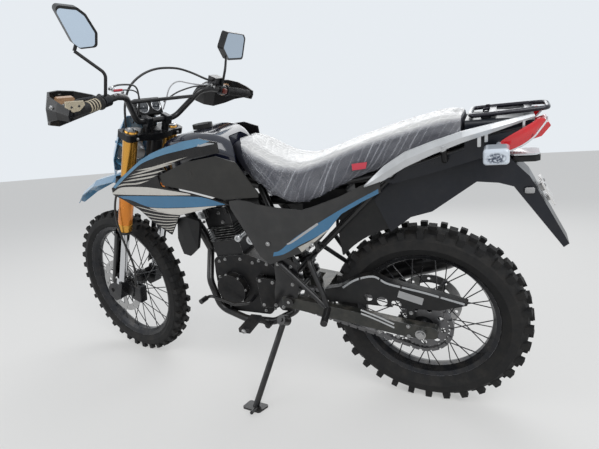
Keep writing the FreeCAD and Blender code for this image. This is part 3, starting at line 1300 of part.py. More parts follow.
def chain():
    """Closed chain: rollers' band with a pair of side plates at every other pitch."""
    path = chain_path()
    outer = Part.Face(path.makeOffset2D(ROLLER))
    inner = Part.Face(path.makeOffset2D(-ROLLER))
    band = outer.cut(inner).extrude(LEFT * 9)
    band.translate(LEFT * (S.chain_side - 4.5))
    count = int(round(path.Length / (2 * S.chain_pitch)))
    step = path.Length / count
    spots = [path.discretize(Number=count * 2 + 1)][0]
    links = []
    for index in range(count):
        start, end = spots[2 * index], spots[2 * index + 1]
        run = (end - start)
        middle = (start + end) * 0.5
        length = step * 0.5 + 9
        link = Part.makeBox(length, 17, 14, Vector(-length / 2, -8.5, -7))
        angle = -math.degrees(math.atan2(run.z, run.x))
        link.Placement = Placement(middle + LEFT * S.chain_side, Rotation(LEFT, angle))
        links.append(link)
    hollow = Part.makeCylinder(pitch_radius(S.sprocket_teeth) - ROLLER, 40,
                               Vector(0, S.chain_side - 20, S.rear_tip), LEFT)
    feature("chain", fused([band] + links).cut(hollow), "chassis", BIKE)


# Chain guard outline: ahead, up; its top edge, then back below the chain
CHAIN_CREST = ((330, 446), (270, 462), (212, 500), (150, 517), (106, 494), (-20, 468), (-141, 437))
CHAIN_FOOT = ((-139, 429), (-57, 402), (60, 398), (330, 402))
# Lightening holes in the guard: ahead, up, radius
CHAIN_HOLES = ((175, 428, 15), (128, 417, 18), (81, 410, 17))


def chain_guard():
    """Plate outside the chain's upper run with three holes, flanged over the chain, on two tabs."""
    inner = S.arm_inner - 4.5
    face = flat(CHAIN_CREST + CHAIN_FOOT, inner, inner + 4, 0)
    flange = flat(list(CHAIN_CREST) + [(x, z - 4) for x, z in reversed(CHAIN_CREST)], 64, inner + 2, 0)
    tabs = [Part.makeBox(26, 4.2, 54, Vector(x, inner, z)) for x, z in ((22, 360), (296, 372))]
    shape = fused([face, flange] + tabs)
    for x, z, radius in CHAIN_HOLES:
        shape = shape.cut(rod((x, inner - 1, z), (x, inner + 5, z), radius))
    feature("chain_guard", shape, "chassis", BIKE)


# Shock absorber: lower eye's middle, and eye to eye
SHOCK_FOOT = Vector(400, 0, 438)
SHOCK_LENGTH = 268.0


def shock():
    """Shock absorber: eyes, damper body and a coil spring as a turned stack of rounded ribs."""
    profile = [(14, 12), (24, 12), (26, 30), (32, 30)]
    for index in range(6):
        low = 34 + 24 * index
        profile += [(low, 22), (low + 4, 32), (low + 12, 32), (low + 16, 22)]
    profile += [(176, 32), (184, 32), (186, 24), (236, 24), (240, 12), (SHOCK_LENGTH - 14, 12)]
    rise = (Vector(500, 0, 690) - SHOCK_FOOT).normalize()
    shape = spindle(profile, SHOCK_FOOT, rise)
    eyes = [Part.makeCylinder(15, 34, spot - LEFT * 17, LEFT)
            for spot in (SHOCK_FOOT, SHOCK_FOOT + rise * SHOCK_LENGTH)]
    bore = Part.makeCylinder(11 + S.seat_gap, 60, Vector(500, -30, 690), LEFT)
    feature("shock_absorber", fused([shape] + eyes).cut(bore), "chassis", BIKE)


def rider_controls():
    """Foot pegs, gear lever, brake pedal and passenger peg brackets."""
    parts = []
    seat_side = S.cradle_side + S.frame_radius + S.seat_gap
    for sign in (-1, 1):
        stub = rod((575, sign * seat_side, 280), (575, sign * 122, 282), 12)
        mount = tube([(575, sign * 112, 281), (584, sign * 140, 318), (586, sign * 164, 342)], 9, 30)
        peg = block((590, sign * 205, 345), (46, 96, 18), 0, 3)
        parts.append(fused([stub, mount, peg]))
    feature("foot_pegs", Part.makeCompound(parts), "chassis", BIKE)
    case_side = S.cradle_side - S.frame_radius
    lever = tube([(640, case_side, 372), (640, 118, 372), (700, 128, 366), (796, 140, 404),
                  (806, 186, 404)], 6, 20)
    lever = fused([lever, rod((802, 158, 404), (806.6, 190, 404), 10)])
    pedal = tube([(640, -seat_side, 279), (640, -116, 280), (700, -146, 316), (786, -152, 352),
                  (792, -190, 356)], 7, 20)
    feature("foot_controls", Part.makeCompound([lever, pedal]), "chassis", BIKE)
    brackets = []
    for sign in (-1, 1):
        root = PIVOT_SIDE + S.frame_radius + S.seat_gap
        wye = [tube([(478, sign * root, 560), (478, sign * 124, 560), (330, sign * 150, 436),
                     (300, sign * 156, 410)], 9, 20),
               tube([(360, sign * 70.8, 568), (360, sign * 124, 572), (312, sign * 150, 460),
                     (300, sign * 156, 410)], 9, 20),
               rod((300, sign * 156, 410), (286, sign * 236, 404), 12)]
        brackets.append(fused(wye))
    feature("passenger_pegs", Part.makeCompound(brackets), "chassis", BIKE)


# Rear caliper's place round the disc, up from straight ahead
CALIPER_ANGLE = math.radians(24)


def rear_caliper():
    """Single-piston caliper on the right, straddling the disc, against the swingarm's inner face."""
    side = -float(S.rear_disc_side)
    inner, outer = -52.0, -(S.arm_inner - S.seat_gap)
    middle = (inner + outer) / 2
    reach = Vector(math.cos(CALIPER_ANGLE), 0, math.sin(CALIPER_ANGLE))
    turn = -math.degrees(CALIPER_ANGLE)
    body = block(REAR_AXLE + reach * 108 + LEFT * middle, (52, inner - outer, 60), turn, 4)
    slot = block(REAR_AXLE + reach * 56 + LEFT * side, (120, S.disc_thickness + 10.2, 120), turn)
    feature("rear_caliper", body.cut(slot), "chassis", BIKE)


def chassis():
    frame()
    engine()
    intake()
    exhaust()
    tank()
    covers()
    seat()
    tail()
    carriers()
    swingarm()
    chain()
    chain_guard()
    shock()
    rider_controls()
    rear_caliper()


def check_and_write():
    doc.recompute()
    for made in doc.Objects:
        if "Invalid" in made.State or "Error" in made.State:
            raise ValueError("%s failed: %s" % (made.Label, made.State))
    for label, (made, _) in NODES.items():
        if made.Shape.isNull() or not made.Shape.isValid() or made.Shape.Volume <= 0:
            raise ValueError("%s has no valid shape" % label)
    os.makedirs("parts", exist_ok=True)
    for label, (made, _) in NODES.items():
        made.Shape.exportStep("parts/%s.step" % label)


def main():
    front_wheel()
    rear_wheel()
    steering()
    side_stand()
    chassis()
    check_and_write()
    print("nodes:", len(NODES))


main()
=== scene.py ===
# %% [markdown]
# # A dual sport motorcycle on its side stand
# The construction comes from a CAD model, which arrives here as a fixed frame of named nodes. This
# script gives every node its finish and adds what is soft, thin or small: the seat pad and the film
# over it, painted bands, cables, bolts and small fittings. Each step says what the real piece is, how
# it could be made, and why it is made this way.

# %% Load the frame
import math
import bmesh
import bpy
import numpy as np
from mathutils import Euler, Matrix, Vector


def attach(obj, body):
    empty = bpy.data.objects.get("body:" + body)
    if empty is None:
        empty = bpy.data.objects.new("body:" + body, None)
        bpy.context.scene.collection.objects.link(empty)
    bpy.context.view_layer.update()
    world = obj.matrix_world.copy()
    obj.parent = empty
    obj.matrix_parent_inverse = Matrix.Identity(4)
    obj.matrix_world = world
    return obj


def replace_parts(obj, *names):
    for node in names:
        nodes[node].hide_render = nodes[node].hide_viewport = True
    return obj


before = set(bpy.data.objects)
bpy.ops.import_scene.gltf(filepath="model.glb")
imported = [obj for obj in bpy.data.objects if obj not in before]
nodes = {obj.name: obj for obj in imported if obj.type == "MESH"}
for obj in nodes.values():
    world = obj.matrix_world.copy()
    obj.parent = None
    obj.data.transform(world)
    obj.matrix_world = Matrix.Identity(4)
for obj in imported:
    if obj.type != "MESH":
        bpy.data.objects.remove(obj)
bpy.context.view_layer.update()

# %% [markdown]
# The machine leans on its stand and its steering is turned, so nothing on it is square to the world.
# Working in its own upright frames is far easier: the bike frame starts on the ground under the rear
# axle, the fork frame at the front axle. Two matrices carry points, given in millimetres, from those
# frames to the scene in metres. The same matrices, inverted, let a material read upright positions.

# %% The bike frame and the fork frame
def place(base_mm, yaw, pitch, roll):
    """Matrix of a frame: turned by roll about X, then pitch about Y, then yaw about Z, then moved."""
    turn = Euler((math.radians(roll), math.radians(pitch), math.radians(yaw)), "XYZ")
    return Matrix.Translation(Vector(base_mm) / 1000) @ turn.to_matrix().to_4x4()


BIKE = place((-650, -254, 5.21185), -0.00621331, 0.0282597, -12.4)
FORK = place((709.373, -189.764, 344.276), -5.22691, -25.8306, -9.02679)


def carried(points, carrier):
    """Points in millimetres of a frame, as metres in the scene: the matrix times each point."""
    points = np.asarray(points, float) / 1000
    turn, base = np.array(carrier)[:3, :3], np.array(carrier)[:3, 3]
    return points @ turn.T + base


REAR_AXLE_UP = 331
print("rear axle at", carried([[0, 0, REAR_AXLE_UP]], BIKE).round(3))
print("front axle at", carried([[0, 0, 0]], FORK).round(3))

# %% [markdown]
# ## Camera, light and floor
# The photograph was taken from the machine's left rear, a little above the seat, with a wide lens.
# The camera's place and turn were solved from both wheels' rims, so they are written as numbers. A
# camera is a matrix whose columns are its right, up and backward directions and its place. The stage
# is a pale floor under a pale world, with large lamps, so that every finish shows at a plain level.

# %% Camera
right, up = Vector((-0.90737, -0.41663, -0.05569)), Vector((0.01771, -0.17028, 0.98524))
back = right.cross(up)
camera_place = Vector((-0.88866, 1.3194, 0.9020))
camera_data = bpy.data.cameras.new("camera")
camera_data.sensor_width = 36.0
camera_data.lens = 442.88 / 599 * 36.0
camera_data.clip_start = 0.05
camera = bpy.data.objects.new("camera", camera_data)
camera.matrix_world = Matrix.Translation(camera_place) @ Matrix((right, up, back)).transposed().to_4x4()
bpy.context.collection.objects.link(camera)
scene = bpy.context.scene
scene.camera = camera
scene.view_settings.view_transform = "Standard"
print("lens", round(camera_data.lens, 2))


# %% Lamps
def lamp(name, place_at, aim, size, watts, tint=(1, 1, 1)):
    """Square area lamp at one place, facing another."""
    data = bpy.data.lights.new(name, "AREA")
    data.shape, data.size, data.energy, data.color = "SQUARE", size, watts, tint
    made = bpy.data.objects.new(name, data)
    made.location = place_at
    made.rotation_euler = (Vector(aim) - Vector(place_at)).to_track_quat("-Z", "Y").to_euler()
    bpy.context.collection.objects.link(made)


lamp("key", (-2.6, 2.8, 3.4), (0, 0, 0.6), 3.0, 120)
lamp("fill", (2.8, 2.6, 2.0), (0.3, 0, 0.6), 2.5, 34)
lamp("back", (0.6, -3.4, 3.2), (0, 0, 0.7), 3.5, 70)
print("lamps", len(bpy.data.lights))

# %% [markdown]
# ## Building materials in code
# A node tree is a list of small machines joined by wires. One helper adds a machine, sets its plain
# settings and fills its sockets: a number is written on the socket, another node's output is wired.
# Effects that several finishes share are node groups, built once.


# %% Node helpers
def node(tree, kind, sockets=None, **settings):
    """One node, with its settings, whose sockets take a value or the output of another node."""
    made = tree.nodes.new("ShaderNode" + kind)
    for name, value in settings.items():
        setattr(made, name, value)
    for name, value in (sockets or {}).items():
        if isinstance(value, bpy.types.NodeSocket):
            tree.links.new(value, made.inputs[name])
        else:
            made.inputs[name].default_value = value
    return made


def math_node(tree, operation, *values, clamp=False):
    """Result of one sum on numbers or on other nodes' outputs."""
    return node(tree, "Math", dict(enumerate(values)), operation=operation, use_clamp=clamp).outputs[0]


def blend_colour(tree, share, first, second):
    """Colour that goes from the first to the second as the share goes from 0 to 1."""
    return node(tree, "Mix", {0: share, 6: first, 7: second}, data_type="RGBA").outputs[2]


def upright(tree, carrier, centre_mm=(0, 0, 0)):
    """Object coordinates carried back into an upright frame, in metres from a centre given in mm."""
    back_matrix = (carrier @ Matrix.Translation(Vector(centre_mm) / 1000)).inverted()
    coordinates = node(tree, "TexCoord").outputs["Object"]
    turn = back_matrix.to_euler("XYZ")
    return node(tree, "Mapping", {"Vector": coordinates, "Location": back_matrix.to_translation(),
                                  "Rotation": (turn.x, turn.y, turn.z)}, vector_type="POINT").outputs[0]


def new_group(name, inputs, outputs):
    """Empty shader group with named sockets: its tree, its input node and its output node."""
    tree = bpy.data.node_groups.new(name, "ShaderNodeTree")
    kinds = {"value": "NodeSocketFloat", "vector": "NodeSocketVector", "colour": "NodeSocketColor"}
    for label, kind, default in inputs:
        socket = tree.interface.new_socket(label, in_out="INPUT", socket_type=kinds[kind])
        if default is not None:
            socket.default_value = default
    for label, kind in outputs:
        tree.interface.new_socket(label, in_out="OUTPUT", socket_type=kinds[kind])
    return tree, tree.nodes.new("NodeGroupInput").outputs, tree.nodes.new("NodeGroupOutput").inputs


# %% [markdown]
# The world gives a soft light, and shows itself paler to rays that come from the camera, off a shiny
# face or through glass. So the background is pale, in metal and glass too, with no more light on the
# machine. The same switch makes the floor paler further down.

# %% World
def seen_directly(tree):
    """1 for the camera's own rays and for glossy and transmitted ones, and 0 for all other light."""
    rays = node(tree, "LightPath").outputs
    shown = math_node(tree, "MAXIMUM", rays["Is Camera Ray"], rays["Is Glossy Ray"])
    return math_node(tree, "MAXIMUM", shown, rays["Is Transmission Ray"])


world = bpy.data.worlds.new("pale")
world.use_nodes = True
world_tree = world.node_tree
lit = world_tree.nodes["Background"]
lit.inputs["Color"].default_value = (0.78, 0.83, 0.90, 1)
lit.inputs["Strength"].default_value = 0.55
seen = node(world_tree, "Background", {"Color": (0.80, 0.84, 0.88, 1), "Strength": 1.0})
choice = node(world_tree, "MixShader", {0: seen_directly(world_tree), 1: lit.outputs[0],
                                        2: seen.outputs[0]})
world_tree.links.new(choice.outputs[0], world_tree.nodes["World Output"].inputs[0])
scene.world = world
print("world nodes", len(world_tree.nodes))

# %% [markdown]
# Moulded plastic, cast metal and rubber all have a fine skin texture and slow changes of tone. One
# group makes both from noise at two scales. A second group makes dust: it lies on faces that look up
# and in patches. A third makes hairline scratches by stretching noise along one direction.

# %% Shared effects
grain_tree, given, out = new_group("surface_grain", [("Vector", "vector", None), ("Fine", "value", 900.0),
                                                     ("Broad", "value", 14.0)],
                                   [("Height", "value"), ("Tone", "value")])
fine = node(grain_tree, "TexNoise", {"Vector": given["Vector"], "Scale": given["Fine"], "Detail": 3.0})
broad = node(grain_tree, "TexNoise", {"Vector": given["Vector"], "Scale": given["Broad"], "Detail": 4.0})
grain_tree.links.new(fine.outputs["Fac"], out["Height"])
grain_tree.links.new(broad.outputs["Fac"], out["Tone"])

dust_tree, given, out = new_group("settled_dust", [("Vector", "vector", None), ("Amount", "value", 0.3)],
                                  [("Mask", "value")])
facing = node(dust_tree, "SeparateXYZ", {0: node(dust_tree, "NewGeometry").outputs["Normal"]}).outputs["Z"]
upward = math_node(dust_tree, "MULTIPLY_ADD", facing, 0.5, 0.45, clamp=True)
patches = node(dust_tree, "TexNoise", {"Vector": given["Vector"], "Scale": 26.0, "Detail": 6.0,
                                       "Roughness": 0.65}).outputs["Fac"]
patchy = node(dust_tree, "MapRange", {"Value": patches, "From Min": 0.42, "From Max": 0.68}).outputs[0]
dust_tree.links.new(math_node(dust_tree, "MULTIPLY", math_node(dust_tree, "MULTIPLY", upward, patchy),
                              given["Amount"], clamp=True), out["Mask"])

scratch_tree, given, out = new_group("hairlines", [("Vector", "vector", None),
                                                   ("Along", "vector", (1, 60, 60)),
                                                   ("Amount", "value", 0.5)], [("Mask", "value")])
stretched = node(scratch_tree, "VectorMath", {0: given["Vector"], 1: given["Along"]}, operation="MULTIPLY")
lines = node(scratch_tree, "TexNoise", {"Vector": stretched.outputs[0], "Scale": 22.0, "Detail": 2.0})
sharp = node(scratch_tree, "MapRange", {"Value": lines.outputs["Fac"], "From Min": 0.55, "From Max": 0.75})
scratch_tree.links.new(math_node(scratch_tree, "MULTIPLY", sharp.outputs[0], given["Amount"]), out["Mask"])


def group(tree, shared, sockets):
    """Outputs of a shared effect placed in a material, with that material's own values."""
    return node(tree, "Group", sockets, node_tree=shared).outputs


DUST = (0.36, 0.31, 0.25, 1)
MATERIALS = {}


def finish(name, colour, rough, metallic=0.0, coat=0.0, fine=900.0, bump=0.0002, tone=0.25, dust=0.25,
           hair=0.0, spread=0.12, carrier=BIKE, build=None, shine=0.5):
    """Adds one finish: colour varied by slow tone and dust, roughness varied, and fine bump."""
    material = bpy.data.materials.new(name)
    material.use_nodes = True
    tree = material.node_tree
    shader = tree.nodes["Principled BSDF"]
    where = upright(tree, carrier)
    skin = group(tree, grain_tree, {"Vector": where, "Fine": fine})
    dark = tuple(c * (1 - tone) for c in colour) + (1,)
    light = tuple(min(1.0, c * (1 + tone)) for c in colour) + (1,)
    shade = blend_colour(tree, skin["Tone"], dark, light)
    if build:
        shade = build(tree, where, shade)
    rough_value = math_node(tree, "MULTIPLY_ADD", skin["Tone"], spread, rough - spread / 2, clamp=True)
    if hair:
        scratched = group(tree, scratch_tree, {"Vector": where, "Amount": hair})
        rough_value = math_node(tree, "ADD", rough_value, scratched["Mask"], clamp=True)
    if dust:
        settled = group(tree, dust_tree, {"Vector": where, "Amount": dust})["Mask"]
        shade = blend_colour(tree, settled, shade, DUST)
        rough_value = math_node(tree, "MAXIMUM", rough_value, settled)
    tree.links.new(shade, shader.inputs["Base Color"])
    tree.links.new(rough_value, shader.inputs["Roughness"])
    shader.inputs["Metallic"].default_value = metallic
    shader.inputs["Coat Weight"].default_value = coat
    shader.inputs["Coat Roughness"].default_value = 0.12
    shader.inputs["Specular IOR Level"].default_value = shine
    raised = node(tree, "Bump", {"Height": skin["Height"], "Distance": bump, "Strength": 1.0})
    tree.links.new(raised.outputs[0], shader.inputs["Normal"])
    material.diffuse_color = tuple(colour) + (1,)
    MATERIALS[name] = material


def wear_material(name, *node_names):
    """Gives a CAD node its material, in every slot."""
    for node_name in node_names:
        data = nodes[node_name].data
        data.materials.clear()
        data.materials.append(MATERIALS[name])


# %% [markdown]
# ## Finishes
# Most of the machine is black, yet the photograph shows many blacks apart: matte moulded plastic,
# satin paint on tubes, rougher castings, rubber. They differ in roughness, grain and dust far more
# than in colour, so that is what the table sets. Edges are made lighter: partly wear on bare and cast
# metal, partly a painted highlight where edges catch the light, bluish on the swingarm and the rack.
# The Bevel node looks a millimetre round each point, and where the smoothed direction differs from
# the face's own, there is an edge.

# %% Worn edges and painted edge highlights
edge_wear_and_highlight_tree, given, out = new_group("edge_wear_and_highlight", [("Reach", "value", 0.0015), ("Vector", "vector", None)],
                                  [("Mask", "value")])
rounded = node(edge_wear_and_highlight_tree, "Bevel", {"Radius": given["Reach"]}, samples=6).outputs[0]
plain = node(edge_wear_and_highlight_tree, "NewGeometry").outputs["Normal"]
same = node(edge_wear_and_highlight_tree, "VectorMath", {0: rounded, 1: plain}, operation="DOT_PRODUCT").outputs["Value"]
edge = node(edge_wear_and_highlight_tree, "MapRange", {"Value": same, "From Min": 0.97, "From Max": 0.80}).outputs[0]
broken = node(edge_wear_and_highlight_tree, "TexNoise", {"Vector": given["Vector"], "Scale": 60.0,
                                      "Detail": 3.0}).outputs["Fac"]
gaps = node(edge_wear_and_highlight_tree, "MapRange", {"Value": broken, "From Min": 0.40, "From Max": 0.60}).outputs[0]
edge_wear_and_highlight_tree.links.new(math_node(edge_wear_and_highlight_tree, "MULTIPLY", edge, gaps, clamp=True), out["Mask"])


def bright_edges(colour, share=0.7):
    """Builder of a shade that goes to the colour at edges: partly wear, partly a painted highlight."""
    def build(tree, where, shade):
        mask = group(tree, edge_wear_and_highlight_tree, {"Vector": where, "Reach": 0.0015})["Mask"]
        return blend_colour(tree, math_node(tree, "MULTIPLY", mask, share), shade, tuple(colour) + (1,))
    return build


def attribute(tree, name):
    """A mesh's own values, one for each point, read by the attribute's name."""
    return node(tree, "Attribute", attribute_name=name).outputs["Fac"]


def dark_heart(centre_mm, reach_mm, colour):
    """Builder of a shade that darkens inside an ellipse seen from the side: the squares of both
    distances from the centre, each over its reach, are added, and the sum fades the colour out."""
    def build(tree, where, shade):
        apart = node(tree, "SeparateXYZ", {0: where}).outputs
        total = None
        for axis, reach, middle in ((0, reach_mm[0], centre_mm[0]), (2, reach_mm[1], centre_mm[1])):
            part = math_node(tree, "MULTIPLY_ADD", apart[axis], 1000 / reach, -middle / reach)
            square = math_node(tree, "MULTIPLY", part, part)
            total = square if total is None else math_node(tree, "ADD", total, square)
        inside = node(tree, "MapRange", {"Value": total, "From Min": 1.2, "From Max": 0.5}).outputs[0]
        blotches = node(tree, "TexNoise", {"Vector": where, "Scale": 130.0, "Detail": 2.0}).outputs["Fac"]
        broken = node(tree, "MapRange", {"Value": blotches, "From Min": 0.38, "From Max": 0.56}).outputs[0]
        return blend_colour(tree, math_node(tree, "MULTIPLY", inside, broken), shade, tuple(colour) + (1,))
    return build


def black_stubs(tree, where, shade):
    """Shade that turns black below the grab rail's lower edge: its height is compared with a line
    that falls 466 mm for each metre ahead, and only ahead of the rail's rear part."""
    apart = node(tree, "SeparateXYZ", {0: where}).outputs
    height = math_node(tree, "MULTIPLY_ADD", apart[0], 0.466, math_node(tree, "SUBTRACT", apart[2], 0.888))
    below = node(tree, "MapRange", {"Value": height, "From Min": 0.0005, "From Max": -0.0005}).outputs[0]
    forward = math_node(tree, "GREATER_THAN", apart[0], -0.106)
    return blend_colour(tree, math_node(tree, "MULTIPLY", below, forward), shade, (0.010, 0.010, 0.011, 1))


# %% The table of finishes
finish("black_plastic", (0.008, 0.0083, 0.009), 0.40, fine=1500, bump=0.00006, dust=0.05, shine=0.3)
finish("dark_panel", (0.020, 0.0195, 0.018), 0.36, coat=0.1, fine=1500, bump=0.00003, dust=0.05, tone=0.3,
       shine=0.35)
finish("cover_panel", (0.026, 0.026, 0.026), 0.34, coat=0.1, fine=1500, bump=0.00003, dust=0.05,
       tone=0.35, shine=0.35)
finish("tank_gloss", (0.006, 0.008, 0.020), 0.14, coat=0.6, bump=0.00001, dust=0.04)
finish("shroud_gloss", (0.007, 0.007, 0.008), 0.26, coat=0.15, shine=0.3, bump=0.00001, dust=0.05)
finish("tail_gloss", (0.006, 0.0075, 0.012), 0.30, coat=0.1, shine=0.3, bump=0.00002, dust=0.03)
finish("black_paint", (0.008, 0.008, 0.009), 0.30, coat=0.2, shine=0.35, bump=0.00003, dust=0.08,
       build=bright_edges((0.16, 0.16, 0.17), 0.5))
finish("casting", (0.011, 0.011, 0.012), 0.42, metallic=0.4, fine=700, bump=0.00025, dust=0.08,
       shine=0.35, build=bright_edges((0.42, 0.42, 0.42), 0.85))
# The swingarm's bluish edge colour is a painted sheen.
finish("olive_alloy", (0.030, 0.031, 0.028), 0.36, metallic=0.5, coat=0.2, hair=0.2, dust=0.2,
       build=bright_edges((0.30, 0.32, 0.36), 0.7))
finish("black_alloy", (0.022, 0.023, 0.026), 0.28, metallic=0.7, hair=0.2, dust=0.12,
       build=bright_edges((0.40, 0.40, 0.42), 0.7))
finish("silver_cast", (0.56, 0.57, 0.58), 0.34, metallic=0.8, fine=600, bump=0.0001, dust=0.05)
finish("rail_cast", (0.52, 0.53, 0.54), 0.36, metallic=0.6, fine=600, bump=0.0001, dust=0.05,
       build=black_stubs)
finish("steel", (0.42, 0.42, 0.42), 0.30, metallic=1.0, hair=0.4, dust=0.12)
finish("dark_steel", (0.13, 0.13, 0.135), 0.34, metallic=0.9, hair=0.3, dust=0.15)
finish("chrome", (0.66, 0.67, 0.69), 0.10, metallic=1.0, bump=0.00001, tone=0.05, dust=0.03, carrier=FORK)
finish("gold", (0.72, 0.36, 0.055), 0.25, metallic=0.85, coat=0.4, bump=0.00001, tone=0.10, dust=0.03,
       carrier=FORK)
finish("orange_gold", (0.74, 0.24, 0.020), 0.27, metallic=0.6, coat=0.4, bump=0.00001, tone=0.12,
       dust=0.03, carrier=FORK)
finish("blue_gloss", (0.085, 0.24, 0.40), 0.22, coat=0.6, bump=0.00001, tone=0.10, dust=0.06, carrier=FORK)
finish("pale_blue", (0.085, 0.21, 0.33), 0.24, coat=0.5, bump=0.00001, tone=0.12, dust=0.05)
finish("band_blue", (0.030, 0.135, 0.255), 0.24, coat=0.5, bump=0.00001, tone=0.14, dust=0.05)
finish("band_white", (0.50, 0.48, 0.44), 0.28, coat=0.5, bump=0.00001, tone=0.08, dust=0.08)
finish("stripe_pale", (0.42, 0.40, 0.36), 0.30, coat=0.4, bump=0.00001, tone=0.12, dust=0.08)
finish("band_silver", (0.40, 0.41, 0.42), 0.26, metallic=0.5, coat=0.4, bump=0.00001, tone=0.1, dust=0.05)
finish("tyre", (0.0075, 0.0075, 0.0078), 0.72, fine=500, bump=0.0004, dust=0.06, tone=0.4, shine=0.3)
finish("rubber", (0.011, 0.011, 0.012), 0.60, shine=0.35, fine=900, bump=0.0002, dust=0.1)
finish("grip_rubber", (0.010, 0.010, 0.011), 0.52, shine=0.35, fine=1200, bump=0.0002, dust=0.06,
       carrier=FORK)
finish("bar_plastic", (0.009, 0.009, 0.010), 0.34, shine=0.35, fine=1500, bump=0.00005, dust=0.08,
       carrier=FORK)
finish("peg_alloy", (0.030, 0.030, 0.031), 0.32, metallic=0.6, hair=0.2, dust=0.06,
       build=bright_edges((0.55, 0.56, 0.57), 0.95))
# The rack's pale bluish edge colour is a painted highlight along its tubes.
finish("rack_tube", (0.010, 0.009, 0.016), 0.26, metallic=0.3, coat=0.2, dust=0.03,
       build=bright_edges((0.40, 0.40, 0.46), 0.6))
finish("red_lens", (0.55, 0.010, 0.016), 0.10, coat=0.8, bump=0.00001, tone=0.15, dust=0.03)
finish("clear_lens", (0.60, 0.62, 0.64), 0.12, coat=0.8, bump=0.00001, tone=0.1, dust=0.03)
finish("signal_lens", (0.55, 0.60, 0.66), 0.12, coat=0.8, bump=0.00001, tone=0.12, dust=0.02,
       build=dark_heart((-218, 918), (23, 14), (0.030, 0.045, 0.080)))
finish("amber_lens", (0.50, 0.30, 0.17), 0.24, coat=0.5, bump=0.00001, tone=0.15, dust=0.05, carrier=FORK)
finish("mirror_glass", (0.60, 0.72, 0.86), 0.03, metallic=1.0, bump=0.0, tone=0.02, dust=0.0, spread=0.0,
       carrier=FORK)
finish("plate", (0.62, 0.61, 0.59), 0.40, coat=0.3, tone=0.08, dust=0.1)
finish("label_grey", (0.30, 0.30, 0.30), 0.38, coat=0.2, tone=0.12, dust=0.1)
# Tan of the packing, also used for the painted highlights on the grip's ribs.
finish("tan_wrap_and_rib_highlight", (0.46, 0.40, 0.29), 0.6, fine=500, bump=0.0002, tone=0.2, dust=0.1, carrier=FORK)
finish("dial_face", (0.030, 0.034, 0.040), 0.08, coat=1.0, bump=0.0, tone=0.1, dust=0.0, carrier=FORK)
finish("switch_red", (0.12, 0.018, 0.010), 0.4, tone=0.2, dust=0.05, carrier=FORK)
finish("fin_alloy", (0.014, 0.014, 0.015), 0.40, metallic=0.4, fine=700, bump=0.0002, dust=0.04,
       build=bright_edges((0.60, 0.60, 0.58), 1.0))
finish("tag_red", (0.42, 0.03, 0.05), 0.5, tone=0.2, dust=0.05)
finish("cable_grey", (0.42, 0.42, 0.43), 0.30, coat=0.3, tone=0.15, dust=0.05, carrier=FORK)
finish("hose_black", (0.010, 0.010, 0.011), 0.42, coat=0.1, tone=0.15, dust=0.08, carrier=FORK)
finish("seat_vinyl", (0.020, 0.021, 0.030), 0.46, fine=1100, bump=0.00025, tone=0.2, dust=0.05)
print("finishes", len(MATERIALS))

# %% Finish of each node
FINISH_OF = {
    "tyre": ("front_tyre", "rear_tyre"),
    "black_alloy": ("front_rim", "rear_rim", "front_hub", "rear_hub", "triple_clamps", "axle_lugs",
                    "front_caliper", "rear_caliper", "hand_controls"),
    "steel": ("front_disc", "rear_disc", "rear_axle"),
    "dark_steel": ("rear_sprocket", "chain", "exhaust_pipe"),
    "gold": ("fork_tubes",), "chrome": ("fork_legs",),
    "black_plastic": ("fork_guards", "instruments", "air_box", "fuel_cap", "lower_shrouds", "chain_guard"),
    "bar_plastic": ("hand_guards", "mirror_shells"),
    "tail_gloss": ("tail_cowl", "rear_fender", "rear_rack"),
    "blue_gloss": ("headlight_fairing", "front_fender"), "shroud_gloss": ("tank_shrouds",),
    "black_paint": ("handlebar", "side_stand", "frame", "muffler", "shock_absorber", "foot_controls"),
    "rubber": ("front_hoses", "foot_pegs"), "grip_rubber": ("grips",), "seat_vinyl": ("seat",),
    "mirror_glass": ("mirror_glasses",), "amber_lens": ("front_indicators",), "red_lens": ("tail_light",),
    "clear_lens": ("headlight_lens",), "signal_lens": ("rear_indicators",), "plate": ("number_plate",),
    "casting": ("engine_case",), "fin_alloy": ("cylinder",), "tank_gloss": ("fuel_tank",),
    "dark_panel": ("tank_panels",),
    "cover_panel": ("side_covers",), "olive_alloy": ("swingarm",), "rail_cast": ("grab_rails",),
    "peg_alloy": ("passenger_pegs",),
}
for name, node_names in FINISH_OF.items():
    wear_material(name, *node_names)
unfinished = set(nodes) - {n for names in FINISH_OF.values() for n in names}
print("nodes without a finish:", sorted(unfinished))


# %% [markdown]
# ## Surfaces from arrays
# Every added piece is worked out as arrays of points in the bike's or the fork's own frame, in
# millimetres. A few helpers cover them all: faces for a grid, a curve through points, a turned form,
# a bar between rails, and one call that makes the mesh and lets it ride on its body.

# %% Grids and curves
def grid_faces(rows, columns, round_rows=False, round_columns=False):
    """Quads between neighbouring lines of a grid; a round direction joins its last line to its first."""
    i, j = np.meshgrid(np.arange(rows - (not round_rows)), np.arange(columns - (not round_columns)),
                       indexing="ij")
    below, beside = (i + 1) % rows, (j + 1) % columns
    return np.stack([i * columns + j, below * columns + j, below * columns + beside, i * columns + beside],
                    -1).reshape(-1, 4)


def smooth_line(points, count):
    """Curve through points: each span blends its four nearest points with cubic weights."""
    p = np.asarray(points, float)
    p = np.vstack([2 * p[0] - p[1], p, 2 * p[-1] - p[-2]])
    t = np.linspace(0, len(p) - 3, count)
    i = np.minimum(t.astype(int), len(p) - 4)
    f = (t - i)[:, None]
    a, b, c, d = p[i], p[i + 1], p[i + 2], p[i + 3]
    square, cubic = (2 * a - 5 * b + 4 * c - d) * f ** 2, (3 * b - a - 3 * c + d) * f ** 3
    return 0.5 * (2 * b + (c - a) * f + square + cubic)


